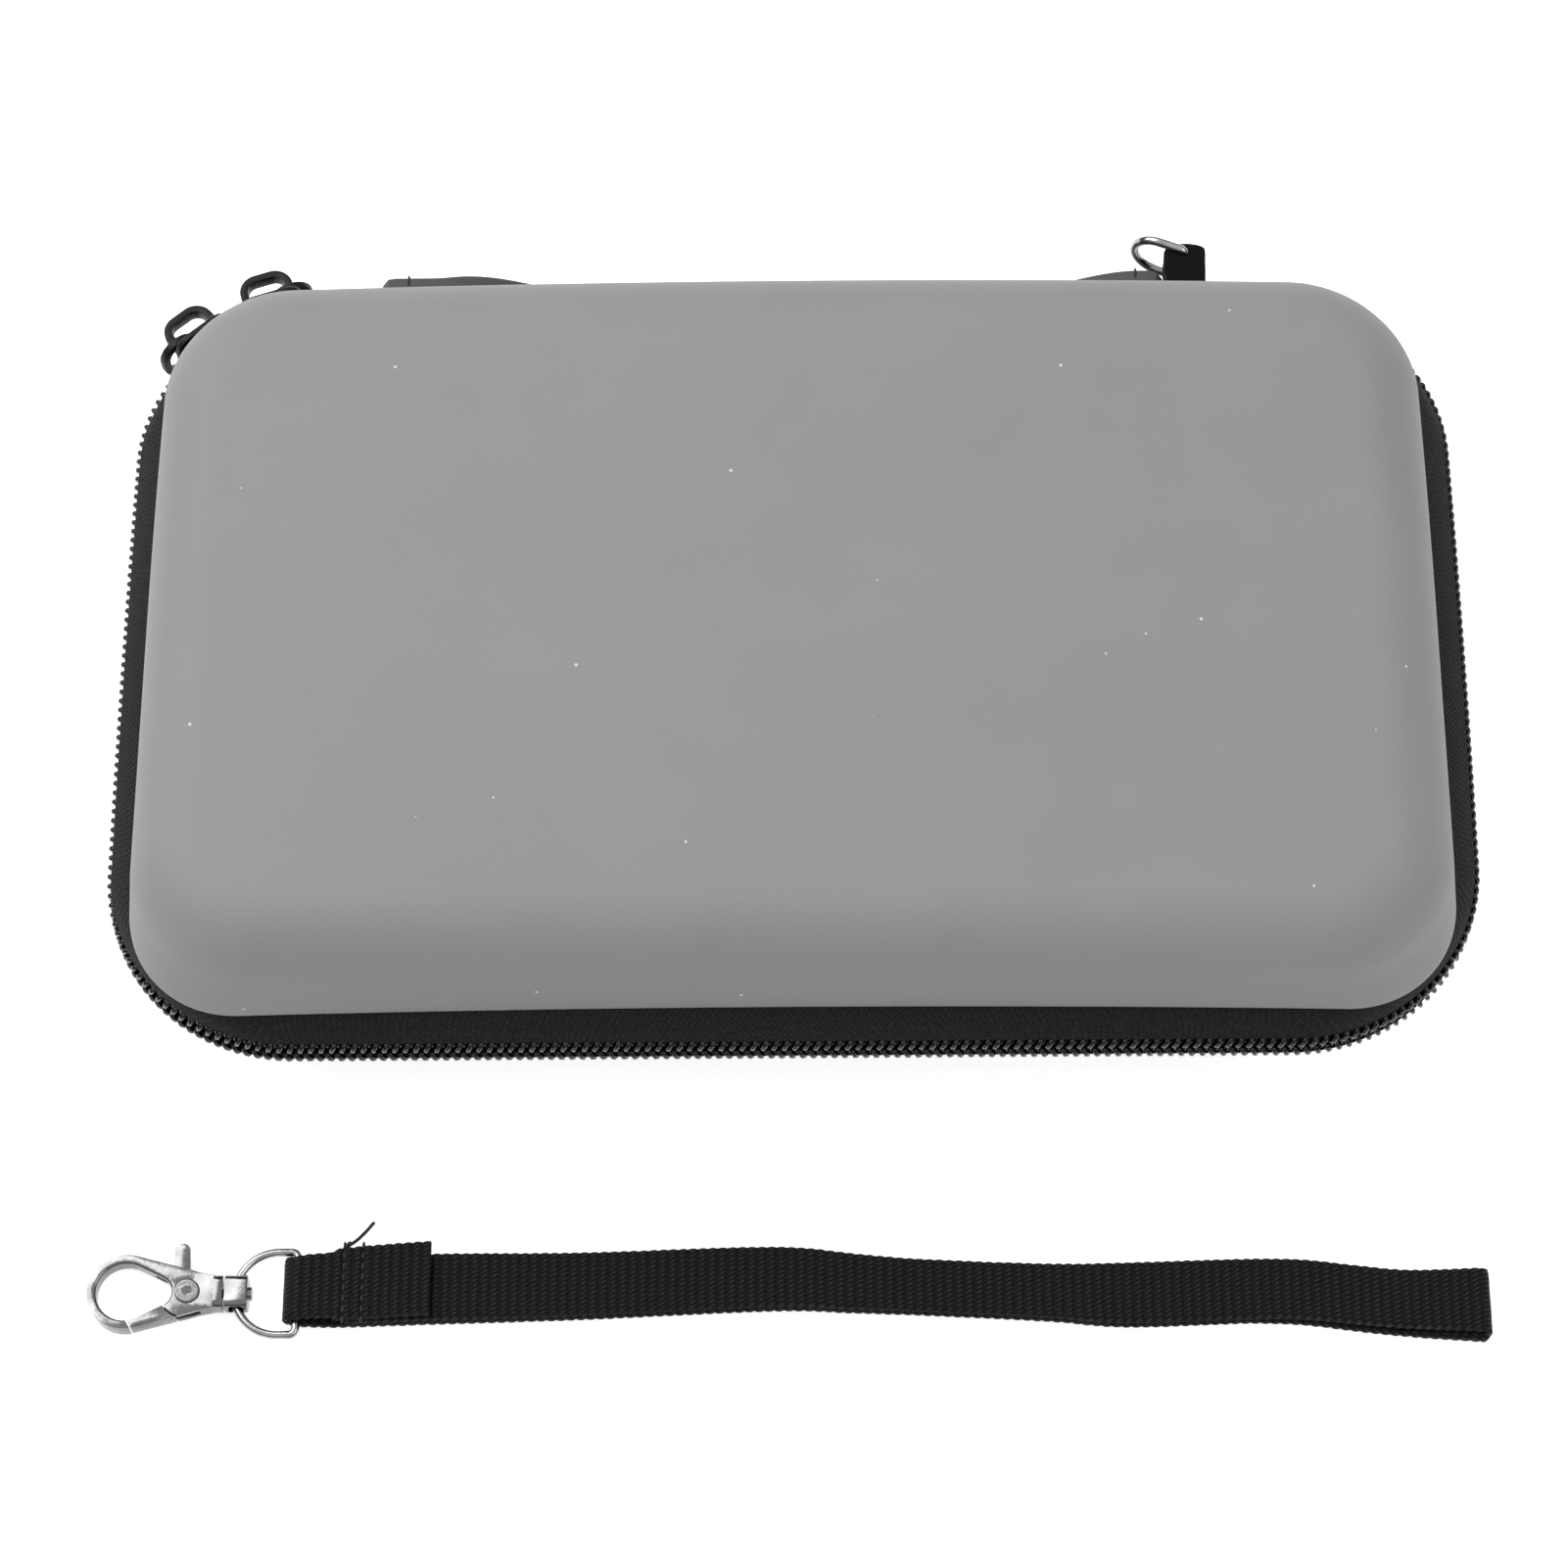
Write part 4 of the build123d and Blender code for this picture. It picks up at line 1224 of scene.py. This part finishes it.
class CASE_OT_handle(bpy.types.Operator):
    """Makes the bowed, drooping handle strap and its end stitches"""

    bl_idname = "case.handle"
    bl_label = "Handle"

    def execute(self, context):
        straps = settings(context)[1]
        steps = 120
        sewn_share = 0.93
        row_end = 0.6 * MM
        row_out = 0.05 * MM
        top_from = 0.4 * MM
        top_to = 0.8 * MM
        low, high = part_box("handle")
        rings = [self.ring(straps, low, high, 2 * step / steps - 1) for step in range(steps + 1)]
        mesh = capped_tube("handle_strap", rings, finish("handle_skin", context))
        keep("handle_strap", mesh, "base", "handle_grey", "handle")
        lines = []
        for share in (-sewn_share, sewn_share):
            x, y, top = self.place(straps, low, high, share)
            face = y + straps.handle_thick + row_out
            lines.append([(x, face, top - row_end), (x, face, top - straps.handle_high + row_end)])
            lines.append([(x, y + top_from, top), (x, face - top_to, top)])
        keep("handle_stitches", stitched(context, lines), "base", "handle_grey")
        return {"FINISHED"}

    def place(self, straps, low, high, share):
        """The handle's inner side and top at a share of its half length."""
        half = (high.x - low.x) / 2
        x = (low.x + high.x) / 2 + half * share
        share -= straps.handle_skew
        flat_share = min(1.0, abs(share) * half / (half - straps.handle_end_flat))
        y = low.y + straps.handle_bow * (1 - flat_share**4) ** 2
        sunk = min(1.0, max(0.0, (straps.droop_from - abs(share)) / straps.droop_over))
        top = straps.handle_top - straps.handle_droop * sunk**2 * (3 - 2 * sunk)
        return x, y, top

    def ring(self, straps, low, high, share):
        """Points round the strap's section, with softened edges and rounded tips."""
        x, y, top = self.place(straps, low, high, share)
        half = (high.x - low.x) / 2
        from_end = half * (1 - abs(share))
        tip = straps.handle_tip
        cut = 0.0
        if from_end < tip:
            cut = tip - math.sqrt(max(0.0, tip**2 - (tip - from_end) ** 2))
        bottom = top - straps.handle_high + cut
        top -= cut
        far = y + straps.handle_thick
        soft = 0.6 * MM
        round_parts = 4
        corners = [(far - soft, top - soft, 0), (y + soft, top - soft, 90)]
        corners += [(y + soft, bottom + soft, 180), (far - soft, bottom + soft, 270)]
        points = []
        for middle_y, middle_z, start in corners:
            for part in range(round_parts + 1):
                turn = math.radians(start + 90 * part / round_parts)
                points.append(
                    Vector((x, middle_y + soft * math.cos(turn), middle_z + soft * math.sin(turn)))
                )
        return points


class CASE_OT_ring_tab(bpy.types.Operator):
    """Felts the tab that holds the case ring and plates the ring"""

    bl_idname = "case.ring_tab"
    bl_label = "Ring Tab"

    def execute(self, context):
        straps = settings(context)[1]
        felt_grain = 1.1 * MM
        low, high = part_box("ring_tab")
        middle = Vector(((low.x + high.x) / 2 - straps.tab_shift, (low.y + high.y) / 2, 0.0))
        top = high.z + straps.tab_swell
        middle.z = (low.z + top) / 2
        reach = Vector((straps.tab_wide, high.y - low.y, top - low.z))
        shape = bmesh.new()
        bmesh.ops.create_cube(shape, size=1.0)
        for point in shape.verts:
            point.co = middle + point.co * reach
        bmesh.ops.bevel(
            shape, geom=shape.edges[:], offset=straps.tab_edge, segments=3, profile=0.5, affect="EDGES"
        )
        bmesh.ops.subdivide_edges(shape, edges=shape.edges[:], cuts=4, use_grid_fill=True)
        shape.normal_update()
        for point in shape.verts:
            point.co += point.normal * straps.tab_fuzz * noise.noise(point.co / felt_grain)
        tab = ended(shape, "ring_tab_felt", finish("tab_felt", context), 80.0)
        keep("ring_tab_felt", tab, "base", "webbing_black", "ring_tab")
        dressed("case_ring", finish("chrome_plate", context))
        return {"FINISHED"}


# The strap's line on the floor: mm from its ring's bar, mm towards the case, share of its width.
STRAP_LINE = (
    (-3.0, 0.4, 0.93),
    (5.0, 0.3, 0.97),
    (19.0, 0.8, 1.0),
    (39.0, 1.1, 0.95),
    (66.0, 2.0, 0.91),
    (77.0, 1.3, 0.84),
    (86.0, 0.7, 0.79),
    (104.0, -0.2, 0.81),
    (115.0, -0.6, 0.91),
    (136.0, -0.1, 0.9),
    (147.0, -1.1, 0.88),
    (154.0, -1.7, 0.87),
    (166.0, -1.8, 0.96),
)
# The two loose ends of the flap's thread: mm from their knot.
THREAD_TAIL = ((0.0, 0.0, 0.0), (1.4, 1.2, -0.6), (2.6, 2.9, -1.6), (3.4, 4.6, -3.0))
THREAD_STUB = (0.5, 0.6, 0.0)


class CASE_OT_wrist_strap(bpy.types.Operator):
    """Lays the ribbed wrist strap: flap, loop round the ring, long layer, fold and return"""

    bl_idname = "case.wrist_strap"
    bl_label = "Wrist Strap"

    def execute(self, context):
        straps = settings(context)[1]
        unevenness = 0.1 * MM
        low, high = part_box("wrist_strap")
        wide = high.y - low.y
        path, shares = self.path(straps, low, high)
        ribs = (straps.rib_pitch, straps.rib_height)
        cloth = finish("webbing_ribs", context)
        band = ribbed_band(path, (0.0, 1.0, 0.0), wide, straps.webbing, ribs, cloth, shares, unevenness)
        strap = keep("wrist_strap_webbing", band, "base", "webbing_black", "wrist_strap")
        stitches = self.sewing(context, straps, low, high)
        return {"FINISHED"}

    def path(self, straps, low, high):
        """The webbing's middle line from the flap's end to the return layer's end, and its width shares."""
        flap_steps = 16
        loop_steps = 12
        long_steps = 60
        fold_steps = 8
        sewn_wider = 0.1
        slip_wider = 0.07
        middle = (low.y + high.y) / 2
        half = straps.webbing / 2
        loop = straps.ring_bar / 2 + straps.ring_slack + half
        bar_x = low.x + loop + half
        bar_z = loop + half
        fold = half + straps.layer_gap / 2
        fold_x = high.x - fold - half
        flap_x = bar_x + straps.flap_long
        return_x = bar_x + straps.return_from_bar
        sewn_from = return_x - 1.0 * MM
        line = smooth_line(STRAP_LINE)
        path = []
        shares = []

        def bowed(x):
            """The strap's place across the floor and its width share at a place along it."""
            far = (x - bar_x) / MM
            for first, second in zip(line, line[1:]):
                if far <= second.x:
                    break
            part = min(1.0, max(0.0, (far - first.x) / (second.x - first.x)))
            spot = first.lerp(second, part)
            return middle + spot.y * MM, spot.z

        def add(x, z, shift=0.0, wider=0.0):
            """Takes the line on to a place, moved sideways and widened."""
            y, wide = bowed(x)
            path.append((x, y + shift, z))
            shares.append(wide + wider)

        for step in range(flap_steps + 1):
            x = flap_x + (bar_x - flap_x) * step / flap_steps
            skew = straps.flap_skew * (1 - step / flap_steps) ** 0.5
            add(x, 2 * bar_z - half, skew, sewn_wider if x > sewn_from else 0.0)
        for step in range(1, loop_steps):
            turn = math.radians(90 + 180 * step / loop_steps)
            add(bar_x + loop * math.cos(turn), bar_z + loop * math.sin(turn))
        for step in range(long_steps + 1):
            x = bar_x + (fold_x - bar_x) * step / long_steps
            slip = max(0.0, 5 * step / long_steps - 4)
            add(x, half, -straps.lower_slip * slip, slip_wider * slip)
        for step in range(1, fold_steps):
            turn = math.radians(-90 + 180 * step / fold_steps)
            slip = 1 - step / fold_steps
            place = fold_x + fold * math.cos(turn)
            level = half + fold + fold * math.sin(turn)
            add(place, level, -straps.lower_slip * slip, slip_wider * slip)
        for step in range(long_steps + 1):
            x = fold_x + (return_x - fold_x) * step / long_steps
            add(x, half + 2 * fold)
        return path, shares

    def sewing(self, context, straps, low, high):
        """The sewn rows through the flap, with two loose ends of thread."""
        first_row = 8.6 * MM
        row_apart = 2.6 * MM
        overhang = 0.4 * MM
        middle = (low.y + high.y) / 2 + straps.flap_skew
        half_wide = (high.y - low.y) / 2 + overhang
        edge = middle + half_wide
        level = high.z + HAIR
        start = low.x + first_row
        lines = [[(x, middle - half_wide, level), (x, edge, level)] for x in (start, start + row_apart)]
        sewn = stitched(context, lines, Stitch=1.1 * MM, Gap=0.3 * MM, Thread=straps.thread * 1.2)
        knot = Vector((start, edge - 0.2 * MM, level - 0.4 * MM))
        tail = smooth_line([knot + Vector(step) * MM for step in THREAD_TAIL])
        ends = [tail, [knot, knot + Vector(THREAD_STUB) * MM]]
        loose = stitched(context, ends, Stitch=0.8 * MM, Gap=-0.5 * MM, Thread=straps.thread * 1.4)
        rows = keep("wrist_strap_stitches", sewn, "base", "webbing_black")
        return [rows, keep("wrist_strap_thread", loose, "base", "webbing_black")]


class CASE_OT_clasp(bpy.types.Operator):
    """Rounds and plates the strap ring, the swivel, the hook, its rivet and its lever"""

    bl_idname = "case.clasp"
    bl_label = "Clasp"

    def execute(self, context):
        edge = 0.22 * MM
        material = finish("clasp_plate", context)
        dressed("strap_ring", finish("chrome_plate", context))
        dressed("clasp_rivet", material)
        owners = {"clasp_swivel": "swivel", "clasp_hook": "hook", "clasp_lever": "lever"}
        for cad_node, body in owners.items():
            mesh = softened(cad_node + "_plated", cad_node, material, edge)
            keep(cad_node + "_plated", mesh, body, "clasp_chrome", cad_node)
        return {"FINISHED"}


class CASE_OT_stage(bpy.types.Operator):
    """Sets the pale floor, the soft light and the camera"""

    bl_idname = "case.stage"
    bl_label = "Stage"

    def execute(self, context):
        self.floor()
        self.sky(context.scene)
        self.lamps()
        self.camera(context.scene)
        context.scene.view_settings.view_transform = "Standard"
        return {"FINISHED"}

    def floor(self):
        """A wide pale floor that the case rests on."""
        reach = 3.0
        dark = (0.88, 0.88, 0.88)
        light = (0.92, 0.92, 0.92)
        glow = 0.6
        mesh = bpy.data.meshes.new("floor")
        corners = [(-reach, -reach, 0.0), (reach, -reach, 0.0), (reach, reach, 0.0), (-reach, reach, 0.0)]
        mesh.from_pydata(corners, [], [(0, 1, 2, 3)])
        material, tree, shader = new_finish("floor_paper", 0.9, specular=0.1)
        shaded(tree, shader, grain(tree, 4.0), dark, light)
        shader.inputs["Emission Color"].default_value = (1.0, 1.0, 1.0, 1.0)
        shader.inputs["Emission Strength"].default_value = glow
        mesh.materials.append(material)
        floor = bpy.data.objects.new("floor", mesh)
        bpy.context.scene.collection.objects.link(floor)

    def sky(self, scene):
        """An even studio sky, brighter overhead than near the horizon."""
        horizon = (0.18, 0.06)
        overhead = (0.72, 1.0)
        strength = 0.9
        world = bpy.data.worlds.new("studio")
        scene.world = world
        world.use_nodes = True
        tree = world.node_tree
        tree.nodes.clear()
        place = node(tree, "ShaderNodeTexCoord").outputs["Generated"]
        height = node(tree, "ShaderNodeSeparateXYZ", {0: place}).outputs["Z"]
        ramp = node(tree, "ShaderNodeValToRGB", {0: height})
        for stop, (position, grey) in zip(ramp.color_ramp.elements, (horizon, overhead)):
            stop.position = position
            stop.color = (grey, grey, grey, 1.0)
        light = node(tree, "ShaderNodeBackground", {"Color": ramp.outputs["Color"], "Strength": strength})
        node(tree, "ShaderNodeOutputWorld", {"Surface": light.outputs[0]})

    def lamps(self):
        """A large key light from the left and back, and a weak fill from the right."""
        lamps = [
            ("key_light", (-0.65, 0.45, 0.95), 0.9, 11.0),
            ("fill_light", (0.8, -0.3, 0.9), 0.8, 3.0),
        ]
        for name, place, side, power in lamps:
            data = bpy.data.lights.new(name, "AREA")
            data.shape = "SQUARE"
            data.size = side
            data.energy = power
            lamp = bpy.data.objects.new(name, data)
            lamp.location = place
            lamp.rotation_euler = (-Vector(place)).to_track_quat("-Z", "Y").to_euler()
            bpy.context.scene.collection.objects.link(lamp)

    def camera(self, scene):
        """The camera at the photograph's viewing angle."""
        picture = 1601.0
        focal = 4606.0
        elevation = math.radians(64.51)
        yaw = math.radians(1.74)
        roll = math.radians(-1.97)
        target = Vector((-1.12, -18.58, 22.0)) * MM
        distance = 634.5 * MM
        flat = math.cos(elevation)
        back = Vector((math.sin(yaw) * flat, -math.cos(yaw) * flat, math.sin(elevation)))
        right = (-back).cross(Vector((0.0, 0.0, 1.0))).normalized()
        up = right.cross(-back)
        turned_right = right * math.cos(roll) + up * math.sin(roll)
        turned_up = up * math.cos(roll) - right * math.sin(roll)
        data = bpy.data.cameras.new("camera")
        data.sensor_fit = "HORIZONTAL"
        data.sensor_width = 36.0
        data.lens = focal / picture * data.sensor_width
        data.clip_start = 0.01
        camera = bpy.data.objects.new("camera", data)
        turn = Matrix((turned_right, turned_up, back)).transposed().to_4x4()
        camera.matrix_world = Matrix.Translation(target + back * distance) @ turn
        scene.collection.objects.link(camera)
        scene.camera = camera


class CASE_PT_looks(bpy.types.Panel):
    """Lists the case's pieces in the sidebar"""

    bl_label = "Console Case"
    bl_idname = "CASE_PT_looks"
    bl_space_type = "VIEW_3D"
    bl_region_type = "UI"
    bl_category = "Case"

    def draw(self, context):
        for operator in OPERATORS:
            self.layout.operator(operator.bl_idname)
        for group in settings(context):
            box = self.layout.box()
            for name in group.bl_rna.properties.keys():
                if name not in ("rna_type", "name"):
                    box.prop(group, name)


OPERATORS = (
    CASE_OT_stage,
    CASE_OT_shells,
    CASE_OT_zip_tapes,
    CASE_OT_zip_coils,
    CASE_OT_sliders,
    CASE_OT_bindings,
    CASE_OT_mesh_pocket,
    CASE_OT_console_strap,
    CASE_OT_spine,
    CASE_OT_handle,
    CASE_OT_ring_tab,
    CASE_OT_wrist_strap,
    CASE_OT_clasp,
)
CLASSES = (CaseSizes, StrapSizes, CaseColours, *OPERATORS, CASE_PT_looks)


def register():
    """Registers the classes and the scene's values."""
    for kind in CLASSES:
        bpy.utils.register_class(kind)
    bpy.types.Scene.case_sizes = bpy.props.PointerProperty(type=CaseSizes)
    bpy.types.Scene.strap_sizes = bpy.props.PointerProperty(type=StrapSizes)
    bpy.types.Scene.case_colours = bpy.props.PointerProperty(type=CaseColours)


def unregister():
    """Removes what register added."""
    del bpy.types.Scene.case_colours
    del bpy.types.Scene.strap_sizes
    del bpy.types.Scene.case_sizes
    for kind in reversed(CLASSES):
        bpy.utils.unregister_class(kind)


def main():
    """Dresses the case."""
    register()
    for operator in OPERATORS:
        group, name = operator.bl_idname.split(".")
        getattr(getattr(bpy.ops, group), name)()


if __name__ == "__main__":
    main()
